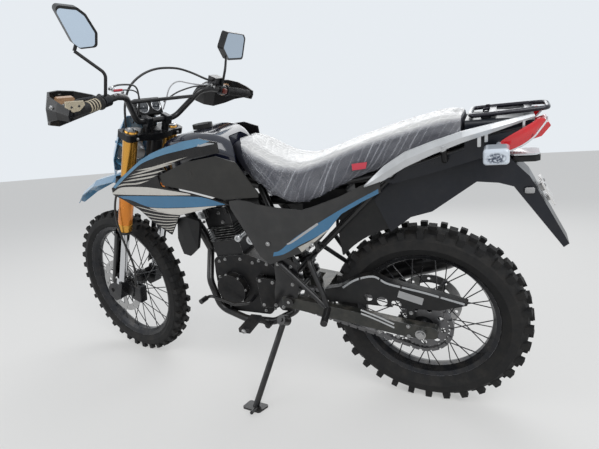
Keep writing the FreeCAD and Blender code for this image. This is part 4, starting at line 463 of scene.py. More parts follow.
def skin(grid, flip=False, round_rows=False, round_columns=False):
    """Part from a grid of points: the points in a row, and the quads between them."""
    faces = grid_faces(*grid.shape[:2], round_rows, round_columns)
    return grid.reshape(-1, 3), (faces[:, ::-1] if flip else faces).tolist()


def bar(rails):
    """Closed part between rails that run side by side: quads all round, and a face on each end."""
    rails = np.asarray(rails, float)
    count, length = rails.shape[:2]
    faces = grid_faces(count, length, round_rows=True).tolist()
    ends = [[k * length for k in range(count)], [k * length + length - 1 for k in range(count)][::-1]]
    return rails.reshape(-1, 3), faces + ends


def turned(profile, centre, axis, sides=24, flats=0):
    """Turned part: each profile point (along, radius) becomes a ring round the axis through the
    centre. With flats, the rings are polygons of that many sides."""
    axis = np.asarray(axis, float) / np.linalg.norm(axis)
    first = np.cross(axis, (0.31, 0.17, 0.93))
    first /= np.linalg.norm(first)
    second = np.cross(axis, first)
    along, radius = np.asarray(profile, float).T
    turns = flats or sides
    angle = np.arange(turns) * 2 * np.pi / turns
    ring = np.cos(angle)[:, None] * first + np.sin(angle)[:, None] * second
    grid = np.asarray(centre, float) + along[:, None, None] * axis + radius[:, None, None] * ring
    return skin(grid, round_columns=True)


def make_piece(name, material, body, parts, carrier=BIKE, weld=True, crease=35):
    """Mesh piece from parts in millimetres of its carrier. Welding joins doubles at poles and seams
    and turns all faces outwards."""
    points, faces, base = [], [], 0
    for part_points, part_faces in parts:
        points.append(np.asarray(part_points, float).reshape(-1, 3))
        faces += [[index + base for index in face] for face in part_faces]
        base += len(points[-1])
    mesh = bpy.data.meshes.new(name)
    mesh.from_pydata(carried(np.vstack(points), carrier).tolist(), [], faces)
    if weld:
        work = bmesh.new()
        work.from_mesh(mesh)
        bmesh.ops.remove_doubles(work, verts=work.verts, dist=1e-5)
        bmesh.ops.recalc_face_normals(work, faces=work.faces)
        work.to_mesh(mesh)
        work.free()
    mesh.shade_smooth()
    mesh.set_sharp_from_angle(angle=math.radians(crease))
    mesh.materials.append(MATERIALS[material])
    piece = bpy.data.objects.new(name, mesh)
    bpy.context.collection.objects.link(piece)
    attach(piece, body)
    return piece


def pipe(line, radius, count=60, sides=12, upwards=(0, 0, 1)):
    """Round tube along a curve: each ring stands square to the run, on two directions that cross
    products make from the run and a fixed upward one. Both ends close in their middles."""
    line = smooth_line(line, count)
    run = np.gradient(line, axis=0)
    run /= np.linalg.norm(run, axis=1)[:, None]
    beside = np.cross(run, upwards)
    beside /= np.linalg.norm(beside, axis=1)[:, None]
    over = np.cross(beside, run)
    angle = np.arange(sides)[None, :, None] * 2 * np.pi / sides
    rings = line[:, None] + radius * (np.cos(angle) * beside[:, None] + np.sin(angle) * over[:, None])
    ends = [np.repeat(line[k][None, None], sides, axis=1) for k in (0, -1)]
    return skin(np.concatenate([ends[0], rings, ends[1]]), round_columns=True)


def box_part(low, high, round_by=0.12):
    """Rounded box: six rings of a rectangle with cut corners, narrower at both ends."""
    low, high = np.asarray(low, float), np.asarray(high, float)
    middle, half = (low + high) / 2, (high - low) / 2
    corner = np.array([(1, 1 - round_by), (1 - round_by, 1), (round_by - 1, 1), (-1, 1 - round_by),
                       (-1, round_by - 1), (round_by - 1, -1), (1 - round_by, -1), (1, round_by - 1)])
    rings = []
    flat = 1 - round_by
    for along, share in ((-1, 0), (-1, flat), (-flat, 1), (flat, 1), (1, flat), (1, 0)):
        rings.append(middle + np.column_stack([corner * share, np.full(len(corner), float(along))]) * half)
    return skin(np.array(rings), round_columns=True)


MIRROR = np.array((1.0, -1.0, 1.0))


def both(part):
    """The part and its mirror image on the bike's other side; welding turns the faces outwards."""
    return [part, (part[0] * MIRROR, part[1])]


# %% [markdown]
# ## Painted bands
# The real shrouds carry printed film cut to shape. Painting them as textures would need an unwrapped
# mesh, and the CAD solids are loose triangles. So each band is its own thin skin: two edges are drawn
# from the side, rows of points lie between them, and each point takes its offset from the panel's
# table, which is the same one that the CAD solid was ruled from. The skin lies 0.4 mm outside it.

# %% Tables of the panels
SHROUD = ((1090, ((189, 862), (190, 854), (191, 846), (190, 837))),
          (1040, ((185, 897), (189, 868), (190, 842), (188, 812))),
          (985, ((182, 927), (188, 880), (189, 838), (186, 776))),
          (930, ((178, 958), (185, 894), (187, 833), (183, 720))),
          (872, ((174, 981), (182, 904), (184, 831), (178, 676))),
          (846, ((172, 988), (179, 908), (182, 830), (176, 712))),
          (815, ((169, 996), (177, 912), (180, 829), (175, 752))),
          (740, ((161, 1011), (170, 918), (173, 825), (169, 766))),
          (680, ((153, 1015), (160, 910), (163, 804), (161, 777))),
          (616, ((144, 996), (149, 890), (150, 787), (149, 781))))
SIDE_COVER = ((612, ((149, 795), (151, 786), (150, 770))), (575, ((149, 799), (153, 735), (149, 690))),
              (535, ((146, 792), (151, 690), (144, 590))), (505, ((143, 780), (148, 670), (140, 557))),
              (440, ((137, 766), (143, 685), (137, 581))), (350, ((134, 758), (140, 690), (136, 616))),
              (300, ((134, 774), (139, 720), (135, 657))), (220, ((133, 802), (136, 776), (133, 745))),
              (150, ((131, 834), (133, 812), (130, 784))), (92, ((129, 852), (130, 832), (129, 812))))
LIFT = 0.4


def panel_side(table, x, z):
    """Offset of a ruled panel at x and z. Each corner line's offset and height are blended between
    the stations around x, and the offset is then read at height z on the bent line they make.
    A point beyond the panel's edge is moved onto it; its height comes back too."""
    stations = np.array([row[0] for row in table], float)[::-1]
    corners = np.array([row[1] for row in table], float)[::-1]
    across = np.stack([np.interp(x, stations, corners[:, k, 0]) for k in range(corners.shape[1])])
    height = np.stack([np.interp(x, stations, corners[:, k, 1]) for k in range(corners.shape[1])])
    z = np.clip(z, height[-1] + 0.6, height[0] - 0.6)
    side = across[0]
    for k in range(len(across) - 1):
        share = np.clip((height[k] - z) / np.maximum(height[k] - height[k + 1], 1e-6), 0, 1)
        side = np.where(z <= height[k], across[k] + (across[k + 1] - across[k]) * share, side)
    return side, z


def band(table, upper, lower, along=48, rows=7, lift=LIFT):
    """Skin of a band: both edges are evened out to as many points, rows lie between them by even
    shares, and the offset comes from the panel. Made for both sides of the bike."""
    upper, lower = smooth_line(upper, along), smooth_line(lower, along)
    share = np.linspace(0, 1, rows)[None, :, None]
    flat = upper[:, None] * (1 - share) + lower[:, None] * share
    side, height = panel_side(table, flat[..., 0], flat[..., 1])
    left = np.stack([flat[..., 0], side + lift, height], -1)
    run = left[-1, 0] - left[0, 0]
    down = left[along // 2, -1] - left[along // 2, 0]
    outwards = np.cross(run, down)[1] > 0
    return [skin(left, not outwards), skin(left * MIRROR, outwards)]


def stripe(table, line, width, along=40, taper=0.25):
    """Skin of a thin stripe: its width is full in the middle and runs out towards both ends."""
    line = smooth_line(line, along)
    run = np.gradient(line, axis=0)
    across = np.stack([-run[:, 1], run[:, 0]], -1) / np.linalg.norm(run, axis=1)[:, None]
    share = np.linspace(0, 1, along)
    wide = width / 2 * np.clip(np.minimum(share, 1 - share) / taper, 0.08, 1)[:, None]
    return band(table, line + across * wide, line - across * wide, along, 3)


# %% Bands on the shrouds
CRESCENT = ([(1086, 868), (1040, 900), (985, 930), (930, 960), (872, 984), (815, 999), (740, 1013),
             (680, 1016), (640, 1006)],
            [(1070, 862), (1024, 892), (977, 919), (926, 946), (870, 962), (810, 974), (740, 983),
             (690, 990), (640, 1002)])
WHITE_BAND = ([(1089, 846), (1037, 865), (928, 863), (832, 848), (747, 831)],
              [(1092, 840), (1030, 837), (937, 834), (842, 830), (747, 827)])
BLUE_BAND = ([(1066, 832), (1007, 832), (870, 828), (749, 822), (694, 813), (629, 786)],
             [(1046, 822), (1008, 814), (930, 787), (797, 782), (712, 782), (629, 784)])
LOWER_WEDGE = ([(938, 785), (870, 781), (790, 780), (720, 781), (662, 782)],
               [(930, 781), (871, 761), (800, 754), (730, 767), (662, 779)])
FLANK_STRIPES = ([(1063, 868), (1023, 876), (958, 878), (900, 888)],
                 [(1036, 885), (963, 892), (899, 898), (862, 905)],
                 [(1004, 898), (937, 906), (874, 913), (828, 921)],
                 [(988, 908), (912, 920), (849, 931), (786, 941)],
                 [(956, 924), (888, 930), (817, 942), (730, 959)])
FIN_FRONT = ((1000, 792), (980, 764), (958, 744), (930, 722), (905, 705), (885, 694), (862, 676))
FIN_REAR = ((800, 752), (812, 744), (822, 733), (830, 722), (836, 711), (841, 700), (845, 690))

make_piece("shroud_crescent", "pale_blue", "chassis", band(SHROUD, *CRESCENT, along=64), weld=False)
make_piece("shroud_white_band", "band_white", "chassis", band(SHROUD, *WHITE_BAND), weld=False)
make_piece("shroud_blue_band", "band_blue", "chassis", band(SHROUD, *BLUE_BAND, rows=9), weld=False)
make_piece("shroud_lower_wedge", "band_white", "chassis", band(SHROUD, *LOWER_WEDGE), weld=False)
stripes = [part for line in FLANK_STRIPES for part in stripe(SHROUD, line, 5.5)]
front_ends, rear_ends = smooth_line(FIN_FRONT, 9), smooth_line(FIN_REAR, 9)
for start, end in zip(front_ends, rear_ends):
    middle = (start + end) / 2 + (0, -4)
    stripes += stripe(SHROUD, [start, middle, end], 3.4, taper=0.1)
make_piece("shroud_stripes", "stripe_pale", "chassis", stripes, weld=False)
tip_lower = [(700, 992), (674, 988), (650, 990), (625, 992)]
tip_upper = [(700, 996), (674, 996), (650, 998), (625, 994)]
make_piece("shroud_tip", "band_silver", "chassis", band(SHROUD, tip_upper, tip_lower, 24, 4), weld=False)
print("bands on the shrouds", len(stripes), "stripes")

# %% Bands on the side covers
COVER_BLUE = ([(478, 606), (450, 616), (385, 666), (300, 716), (200, 772), (98, 824)],
              [(484, 590), (440, 600), (380, 634), (300, 674), (200, 733), (98, 806)])
COVER_SILVER = ([(424, 640), (400, 653), (350, 687), (301, 718)],
                [(421, 636), (400, 645), (350, 677), (299, 711)])
COVER_PALE = ([(384, 627), (330, 655), (285, 684), (244, 709)],
              [(374, 609), (330, 642), (285, 678), (246, 707)])
COVER_LINE = [(262, 688), (200, 729), (150, 766), (98, 803)]
make_piece("cover_blue_band", "band_blue", "chassis", band(SIDE_COVER, *COVER_BLUE), weld=False)
make_piece("cover_silver_band", "band_silver", "chassis", band(SIDE_COVER, *COVER_SILVER, lift=0.8),
           weld=False)
make_piece("cover_pale_band", "stripe_pale", "chassis", band(SIDE_COVER, *COVER_PALE), weld=False)
make_piece("cover_line", "band_white", "chassis", stripe(SIDE_COVER, COVER_LINE, 7.0, taper=0.4),
           weld=False)


# %% [markdown]
# ## Screws
# Small bright heads are what the eye reads as engine. Each is turned: a washer, a round head and a
# well in it. They are listed by place and direction, and one mesh holds each group.

# %% Screw heads
def screw(centre, axis, radius=6.5, height=5.5):
    """Cap screw: a ring profile from the seat up over a rounded rim, then down into a round well."""
    head = turned([(-1, 0), (-1, radius * 1.35), (0.8, radius * 1.35), (0.9, radius),
                   (height * 0.8, radius), (height, radius * 0.86), (height, radius * 0.5)],
                  centre, axis, 20)
    well = turned([(height, radius * 0.5), (height * 0.35, radius * 0.48), (height * 0.3, 0)], centre,
                  axis, 20)
    return [head, well]


def nut(centre, axis, radius=9, height=8):
    """Hexagon nut on a washer, with a stud's rounded end in it."""
    washer = turned([(-0.5, 0), (-0.5, radius * 1.3), (1.2, radius * 1.3), (1.3, radius)], centre, axis, 24)
    body = turned([(1.0, radius), (height, radius), (height + 0.8, radius * 0.8),
                   (height + 0.8, radius * 0.55)],
                  centre, axis, flats=6)
    stud = turned([(height, radius * 0.55), (height + 3, radius * 0.5), (height + 4, radius * 0.3),
                   (height + 4, 0)], centre, axis, 16)
    return [washer, body, stud]


def ring_spots(centre, radius, count, turn=0.5):
    """Places round a centre in the side plane: ahead by the cosine and up by minus the sine."""
    angle = (np.arange(count) + turn) * 2 * np.pi / count
    return [np.asarray(centre, float) + radius * np.array((math.cos(a), 0, -math.sin(a))) for a in angle]


LEFT_OUT, RIGHT_OUT = (0, 1, 0), (0, -1, 0)
CASE_HALF = 71.7
COVER_FACE = CASE_HALF + 24
HEAD_BASE, HEAD_TOP, HEAD_LEAN = (718, 547), 194, math.radians(8)
HEAD_UP = np.array((math.sin(HEAD_LEAN), 0, math.cos(HEAD_LEAN)))
HEAD_AHEAD = np.array((math.cos(HEAD_LEAN), 0, -math.sin(HEAD_LEAN)))


def on_head(x, y, z):
    """A point of the cylinder's own frame, which leans forward on the case."""
    return np.array((HEAD_BASE[0], y, HEAD_BASE[1])) + x * HEAD_AHEAD + z * HEAD_UP


# %% Screws on the engine
PRIMARY_SPOTS = ((588, 462), (588, 358), (537, 362), (511, 384), (511, 436), (534, 458))
CASE_SPOTS = ((556, 330), (600, 316), (764, 316), (786, 380), (784, 452), (560, 520), (770, 521),
              (741, 531), (672, 535), (620, 523), (591, 533))
HEAD_SPOTS = ((731, 719), (720, 683), (759, 656), (806, 682))
case_screws = []
for spot in ring_spots((722, COVER_FACE, 414), 60, 7):
    case_screws += screw(spot, LEFT_OUT, 5)
for spot in ring_spots((650, -COVER_FACE, 420), 84, 7):
    case_screws += screw(spot, RIGHT_OUT, 5)
for spots, side, radius, height in ((PRIMARY_SPOTS, 96, 5, 5.5), (CASE_SPOTS, CASE_HALF, 4.5, 5.5)):
    for ahead, upward in spots:
        case_screws += screw((ahead, side, upward), LEFT_OUT, radius, height)
for x in (-46, 46):
    for y in (-62, 62):
        case_screws += nut(on_head(x, y, HEAD_TOP), HEAD_UP, 6.5, 6)
for ahead, upward in HEAD_SPOTS:
    case_screws += screw((ahead, 62, upward), LEFT_OUT, 4.5, 7)
make_piece("engine_screws", "steel", "chassis", case_screws)
throttle = [turned([(-60, 0), (-60, 9), (-4, 9), (-4, radius), (8, radius), (10, radius - 2),
                    (10, radius * 0.45), (6, radius * 0.4), (6, 0)], (ahead, 64, upward), LEFT_OUT, 28)
            for ahead, upward, radius in ((664, 620, 14), (609, 615, 18))]
throttle.append(box_part((792, 54, 696), (824, 70, 720)))
make_piece("throttle_parts", "silver_cast", "chassis", throttle)
print("screws and nuts on the engine", len(case_screws))

# %% Plate over the swingarm's pivot
def side_outline(shape, inner, outer, bulge=0.0):
    """Closed part from an outline seen from the side: rings shrink towards both faces by the rounding
    of a small edge, and each face closes in its middle."""
    shape = np.asarray(shape, float)
    middle = shape.mean(axis=0)
    offsets = [(inner, 0.0), (inner, 0.95), (inner + (outer - inner) * 0.2, 1.0),
               (outer - (outer - inner) * 0.2, 1.0), (outer, 0.95), (outer + bulge, 0.0)]
    rings = []
    for side, share in offsets:
        ring = middle + (shape - middle) * share
        rings.append(np.stack([ring[:, 0], np.full(len(ring), float(side)), ring[:, 1]], -1))
    return skin(np.array(rings), round_columns=True)


PIVOT_PLATE = ((500, 560), (470, 574), (440, 570), (412, 548), (414, 500), (420, 450), (436, 390),
               (450, 356), (500, 356), (524, 384), (520, 430), (506, 480))
make_piece("pivot_plate", "black_paint", "chassis", [side_outline(PIVOT_PLATE, 112, 117.5)])

# %% Screws of frame and running gear
PIVOT_PLATE_FACE, GUARD_FACE, SWINGARM_FACE = 117.4, 92.6, 120.4
PLATE_SPOTS = ((486, 548), (436, 540), (440, 470), (492, 372))
GUARD_SPOTS = ((306, 392), (34, 384))
SWINGARM_SPOTS = ((138, 316), (75, 306), (40, 350), (40, 312))
AXLE_NUTS = (((0, 132, REAR_AXLE_UP), 13, 9), ((462, 121, 402), 12, 8))
PEG_AND_COVER_SCREWS = (((300, 166, 410), 7), ((590, 254, 345), 7), ((330, 141.5, 640), 6),
                        ((492, 147.5, 640), 6), ((349, 138, 622), 5))


def flat_screws(spots, side):
    """Screws of 5 mm on a face of the left side, one for each place ahead and up."""
    return [part for ahead, upward in spots for part in screw((ahead, side, upward), LEFT_OUT, 5)]


frame_screws = flat_screws(PLATE_SPOTS, PIVOT_PLATE_FACE)
for side in (1, -1):
    for (ahead, out, upward), radius, height in AXLE_NUTS:
        frame_screws += nut((ahead, side * out, upward), (0, side, 0), radius, height)
    for (ahead, out, upward), radius in PEG_AND_COVER_SCREWS:
        frame_screws += screw((ahead, side * out, upward), (0, side, 0), radius)
frame_screws += flat_screws(GUARD_SPOTS, GUARD_FACE) + flat_screws(SWINGARM_SPOTS, SWINGARM_FACE)
make_piece("frame_screws", "steel", "chassis", frame_screws)


# %% [markdown]
# ## Chain guard trim and a painted highlight
# The guard is a black plate. The silver strip along its top edge is a painted highlight where its
# flange catches the light; a second bright strip lies on the swingarm, and a grey label is left
# blank here. A strip is a closed bar between four rails.

# %% Chain guard strips
def side_strip(line, width, inner, thick, along=24):
    """Strip seen from the side: four rails run at half the width above and below the line."""
    line = smooth_line(line, along)
    run = np.gradient(line, axis=0)
    across = np.stack([-run[:, 1], run[:, 0]], -1) / np.linalg.norm(run, axis=1)[:, None] * width / 2
    rails = []
    for shift, side in ((across, inner), (across, inner + thick), (-across, inner + thick),
                        (-across, inner)):
        edge_line = line + shift
        rails.append(np.stack([edge_line[:, 0], np.full(along, float(side)), edge_line[:, 1]], -1))
    return bar(rails)


crest = [(262, 459), (212, 493), (150, 510), (106, 488), (40, 474), (-20, 462), (-132, 434)]
# Painted highlight: a silver strip where the guard's top flange catches the light.
make_piece("guard_crest_highlight", "band_silver", "chassis", [side_strip(crest, 7, 91.6, 1.4, 60)])
lower = [(196, 388), (150, 372), (86, 346)]
make_piece("swingarm_strips", "silver_cast", "chassis",
           [side_strip([(x, z + shift) for x, z in lower], 6, 120.1, 1.2) for shift in (7, -7)])
make_piece("guard_label", "label_grey", "chassis",
           [side_strip([(72, 452), (34, 441), (-6, 430)], 26, 91.6, 0.8)])
make_piece("guard_ties", "rubber", "chassis",
           [side_strip([(x, z + 6), (x + 2, z - 6)], 5, 91.4, 2.6, 4)
            for x, z in ((196, 500), (128, 499), (60, 478), (-60, 453))])


# %% [markdown]
# ## Grips
# A moto grip is soft rubber with thin raised rings and a flange at its inner end. It is one turned
# form: the radius steps up and down along the bar, so the rings are real and catch the light.

# %% Grips
def grip_ends(side):
    """The grip's outer and inner end on the bar's straight part, in the fork frame."""
    inner_bend, outer_end = np.array((-106, 216, 948.0)), np.array((-150, 400, 930.0))
    run = (inner_bend - outer_end) / np.linalg.norm(inner_bend - outer_end)
    ends = outer_end - run * 3.6, outer_end + run * 119.6
    return [end * (1, side, 1) for end in ends]


def grip_profile():
    """Radius along the grip: a waist of 15 mm with a wave of 1 mm at each of 20 rings, then the flange."""
    along = np.linspace(4, 108, 160)
    radius = 14.8 + 0.9 * np.clip(np.sin((along - 4) / 104 * 20 * 2 * np.pi) * 2, -1, 1) * (along > 12)
    radius += 0.8 * np.exp(-((along - 60) / 30) ** 2)
    body = list(zip(along, radius))
    return ([(0, 11.3), (0, 15.4), (3, 16)] + body + [(110, 16), (112, 21.5), (116, 22), (119.4, 21.5),
                                                      (119.6, 20.5), (119.6, 11.3)])


grips = []
for side in (1, -1):
    outer, inner = grip_ends(side)
    grips.append(turned(grip_profile(), outer, inner - outer, 40))
grip_piece = make_piece("grip_rubbers", "grip_rubber", "steering", grips, carrier=FORK, crease=60)
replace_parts(grip_piece, "grips")

# %% [markdown]
# ## Fork trim
# The gold tubes end in an orange-tinted lower part, then a dust seal with a wiper lip. Clamp screws
# sit at the front edges of both clamps.

# %% Dust seals and lower sleeves
seals, sleeves, fork_screws = [], [], []
for side in (1, -1):
    foot = (-35, side * 96, 0)
    seals.append(turned([(333, 21.2), (333, 26), (336, 28.2), (343, 28.4), (344.5, 27), (344.5, 21.2)],
                        foot, (0, 0, 1), 40))
    sleeves.append(turned([(352, 27.1), (352, 28.0), (354, 28.4), (540, 28.4), (542, 28.0), (542, 27.1)],
                          foot, (0, 0, 1), 48))
    for level in (573, 768):
        fork_screws += screw((-35 - 40, side * 96, level), (-1, 0, 0), 5)
    fork_screws += [turned([(785, 0), (785, 22), (789, 22), (790, 20), (790, 11), (793, 10.5), (793, 0)],
                           foot, (0, 0, 1), 6)]
make_piece("dust_seals", "hose_black", "steering", seals, carrier=FORK)
make_piece("lower_sleeves", "orange_gold", "steering", sleeves, carrier=FORK)

# %% [markdown]
# ## Cables and the brake hose
# A hose is a fixed length of rubber between two fittings. Its line is a NURBS curve whose control
# points are the CAD route's points, so it runs in smooth bends between them. The cables run in the same
# way: from their lever or grip in a free arc over the bars, then down behind the fairing.

# %% Curves for cords
def cord_curve(name, material, route_mm, diameter_mm):
    """Curve piece: an open spline of order three through the ends, with a round section, for a cord
    that leaves a control and goes back into the machine. It rides on the steering."""
    data = bpy.data.curves.new(name, "CURVE")
    data.dimensions = "3D"
    data.bevel_depth = diameter_mm / 2000
    data.bevel_resolution = 6
    data.use_fill_caps = True
    data.resolution_u = 16
    spline = data.splines.new("NURBS")
    places = carried(route_mm, FORK)
    spline.points.add(len(places) - 1)
    spline.points.foreach_set("co",
                              np.column_stack([places, np.ones(len(places))]).astype(np.float32).ravel())
    spline.order_u = 3
    spline.use_endpoint_u = True
    data.materials.append(MATERIALS[material])
    piece = bpy.data.objects.new(name, data)
    bpy.context.collection.objects.link(piece)
    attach(piece, "steering")
    return piece


def curve_length(route_mm):
    """Length in metres of the spline: it is close to the mean of the runs' sum and the straight
    chords between the runs' middles, which is how a quadratic spline passes."""
    points = np.asarray(route_mm, float)
    middles = np.vstack([points[:1], (points[1:] + points[:-1]) / 2, points[-1:]])
    inner = np.linalg.norm(np.diff(middles, axis=0), axis=1).sum()
    outer = np.linalg.norm(np.diff(points, axis=0), axis=1).sum()
    return (inner * 2 + outer) / 3000


# %% Brake hose and cables
HOSE = [(-92.4, -233.2, 974.9), (-92.4, -215.2, 974.9), (-36, -168, 992), (-4, -110, 1002), (27, -20, 987),
        (42, 52, 930), (34, 76, 862), (20, 79, 800), (17, 72, 740), (17, 70, 690), (15, 72, 612),
        (8, 96, 546), (-4, 126, 496), (-26, 142, 430), (-64, 138, 350), (-88, 112, 260), (-104, 84, 170),
        (-110, 80, 80.2)]
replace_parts(cord_curve("brake_hose", "hose_black", HOSE, 8.4), "front_hoses")
CABLES = {
    "clutch_cable": ([(-84, 226, 968), (-66, 198, 970), (-52, 150, 966), (-44, 96, 958), (-40, 76, 924),
                      (-38, 70, 880), (-22, 66, 830), (-6, 64, 800)], 6.0, "hose_black"),
    "throttle_cable": ([(-88, -216, 958), (-80, -180, 955), (-70, -128, 962), (-62, -78, 972),
                        (-58, -44, 948), (-60, -34, 899), (-56, -28, 862)], 5.0, "cable_grey"),
    "choke_cable": ([(-84, 214, 962), (-74, 176, 956), (-66, 120, 950), (-62, 92, 930), (-58, 84, 890),
                     (-50, 78, 850)], 4.6, "hose_black"),
    "switch_wires": ([(-94, -206, 954), (-90, -160, 958), (-78, -110, 944), (-62, -66, 922),
                      (-46, -36, 886)], 5.6,
                     "hose_black"),
}
for name, (route, diameter, colour) in CABLES.items():
    cord_curve(name, colour, route, diameter)
print("brake hose", round(curve_length(HOSE), 3), "m and", len(CABLES), "cables")

# %% [markdown]
# ## Handlebar details
# Screws hold the guards, the controls and the switches. The left grip still wears some tan packing: a
# stiff piece with two small dark heads. Four tan rings round the grip are a painted highlight on its
# ribs. Two dials with bright rims look up at the rider, and each cable ends in a small bright adjuster.

# %% Bar fittings
fittings = []
for side in (1, -1):
    fittings += screw((-10.5, side * 352, 930), (-1, 0, 0), 5)
    for y in (344, 366):
        fittings += screw((-56, side * y, 916), (-1, 0, 0), 3.6, 2.5)
    fittings += nut((-100, side * 425, 930), (0, side, 0), 7, 6)
for y, z in ((-205, 966), (-222, 958), (-246, 950), (205, 966), (230, 958)):
    fittings += screw((-118, y, z), (-1, 0, 0), 4, 3)
make_piece("bar_fittings", "steel", "steering", fittings + fork_screws, carrier=FORK)

# %% Wrapping on the left grip, and painted highlights on its ribs
grip_outer, grip_inner = grip_ends(1)
grip_run = (grip_inner - grip_outer) / np.linalg.norm(grip_inner - grip_outer)
# Painted highlight: four tan rings stand for light on the grip's ribs.
rings = [turned([(-2, 14), (-2, 17.6), (0, 18.1), (2, 17.6), (2, 14)], grip_outer + grip_run * along,
                grip_run, 32)
         for along in (68, 79, 90, 101)]
make_piece("grip_rib_highlights", "tan_wrap_and_rib_highlight", "steering", rings, carrier=FORK)
WRAP_PLATE = ((428, 970), (372, 969), (366, 958), (383, 940), (405, 937), (417, 946), (427, 953))
WRAP_MIDDLE = (397, 950)
rails = [[(-160.5, y, z), (-161.5, y, z),
          (-165.0, y + (WRAP_MIDDLE[0] - y) * 0.04, z + (WRAP_MIDDLE[1] - z) * 0.04)] for y, z in WRAP_PLATE]
make_piece("wrap_plate", "tan_wrap_and_rib_highlight", "steering", [bar(rails)], carrier=FORK)
dots = [part for y, z in ((410, 953), (387, 955)) for part in screw((-165, y, z), (-1, 0, 0), 2.6, 1.6)]
make_piece("wrap_screws", "dark_steel", "steering", dots, carrier=FORK)

# %% Dials
FACE_TILT = math.radians(34)
FACE_OUT = np.array((-math.cos(FACE_TILT), 0, math.sin(FACE_TILT)))
FACE_MIDDLE = np.array((6.0, 0, 848.0)) + 23 * FACE_OUT
dials, glasses = [], []
for y, radius in ((31, 25), (-28, 21)):
    place_at = FACE_MIDDLE + (0, y, 0)
    dials.append(turned([(-1, radius * 0.7), (-1, radius), (4, radius), (5.5, radius - 1.6),
                         (4, radius - 3.4), (1, radius - 4), (1, radius * 0.7)], place_at, FACE_OUT, 36))
    glasses.append(turned([(0.6, 0), (0.6, radius - 3.6), (2.4, radius - 3.6), (3.4, radius * 0.5),
                           (3.6, 0)], place_at, FACE_OUT, 36))
    dials.append(turned([(3.0, 0), (3.0, 2.4), (4.6, 2.2), (4.6, 0)], place_at, FACE_OUT, 12))
make_piece("dial_rims", "silver_cast", "steering", dials, carrier=FORK)
make_piece("dial_faces", "dial_face", "steering", glasses, carrier=FORK)

# %% Stem nut, cable adjusters, stop switch and wire joint
small = [turned([(0, 0), (0, 15.5), (9, 15.5), (11, 14), (11, 6), (8, 5), (8, 0)], (-12, 0, 786),
                (0, 0, 1), 28)]
for start_at, aim in (((-84, 226, 968), (18, -28, 2)), ((-88, -216, 958), (8, 36, -3)),
                      ((-84, 214, 962), (10, -38, -6))):
    small.append(turned([(-8, 0), (-8, 4.6), (-2, 5.2), (0, 6.0), (5, 6.0), (6, 4.4), (15, 4.2),
                         (17, 3.4), (17, 0)], start_at, aim, 16))
make_piece("cable_adjusters", "silver_cast", "steering", small, carrier=FORK)
make_piece("stop_switch", "switch_red", "steering", [box_part((-146, -274, 934), (-130, -256, 955), 0.3)],
           carrier=FORK)
joint = turned([(0, 0), (0, 4), (14, 4.4), (28, 4), (28, 0)], (-104, 196, 968), (0.2, 1, -0.1), 16)
make_piece("wire_joint", "tag_red", "steering", [joint], carrier=FORK)

# %% [markdown]
# ## Seat pad
# A seat is a moulded foam under a vinyl cover that is stapled below its base. Its CAD solid has the
# right place but a machined look. So a copy of it is remeshed to even squares, shrunk a little, and
# blown up as cloth against its own springs, which rounds it and puts small unevennesses in it. The
# movement is capped, so that it stays in its solid's space.

# %% The pad
def plain_copy(node_name, name):
    """Copy of a CAD node's mesh with its doubles merged, as an object of its own."""
    mesh = nodes[node_name].data.copy()
    work = bmesh.new()
    work.from_mesh(mesh)
    bmesh.ops.remove_doubles(work, verts=work.verts, dist=1e-5)
    work.to_mesh(mesh)
    work.free()
    piece = bpy.data.objects.new(name, mesh)
    bpy.context.collection.objects.link(piece)
    return piece


def settled(piece):
    """The piece's mesh as its modifiers leave it; the modifiers go."""
    graph = bpy.context.evaluated_depsgraph_get()
    mesh = bpy.data.meshes.new_from_object(piece.evaluated_get(graph))
    piece.modifiers.clear()
    piece.data = mesh
    return mesh


def vertex_rows(mesh, what):
    """The places ("co") or the directions ("normal") of a mesh's points, one row each."""
    flat = np.empty(len(mesh.vertices) * 3, np.float32)
    mesh.vertices.foreach_get(what, flat)
    return flat.reshape(-1, 3)


def move_points(mesh, places):
    """Puts every point of the mesh at its row's place."""
    mesh.vertices.foreach_set("co", places.astype(np.float32).ravel())
    mesh.update()


PAD_VOXEL, PAD_SHRINK, PAD_CAP = 0.006, 0.0035, 0.006
PAD_FRAMES = 20
seat_pad = plain_copy("seat", "seat_pad")
remesh = seat_pad.modifiers.new("even", "REMESH")
remesh.mode, remesh.voxel_size = "VOXEL", PAD_VOXEL
settled(seat_pad)
start = vertex_rows(seat_pad.data, "co") - vertex_rows(seat_pad.data, "normal") * PAD_SHRINK
move_points(seat_pad.data, start)
cloth = seat_pad.modifiers.new("fill", "CLOTH")
cloth.settings.use_pressure = True
cloth.settings.uniform_pressure_force = 4.0
cloth.settings.effector_weights.gravity = 0.0
cloth.point_cache.frame_start, cloth.point_cache.frame_end = 1, PAD_FRAMES
for step in range(1, PAD_FRAMES + 1):
    scene.frame_set(step)
settled(seat_pad)
scene.frame_set(1)
moved = vertex_rows(seat_pad.data, "co") - start
far = np.linalg.norm(moved, axis=1, keepdims=True)
move_points(seat_pad.data, start + moved * np.minimum(1, PAD_CAP / np.maximum(far, 1e-9)))
print("pad moved up to", round(float(far.max()) * 1000, 1), "mm before the cap")
soft = seat_pad.modifiers.new("soft", "SUBSURF")
soft.levels = soft.render_levels = 1
seat_pad.data.materials.clear()
seat_pad.data.materials.append(MATERIALS["seat_vinyl"])
seat_pad.data.shade_smooth()
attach(seat_pad, "chassis")
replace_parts(seat_pad, "seat")
print("pad faces", len(seat_pad.data.polygons))

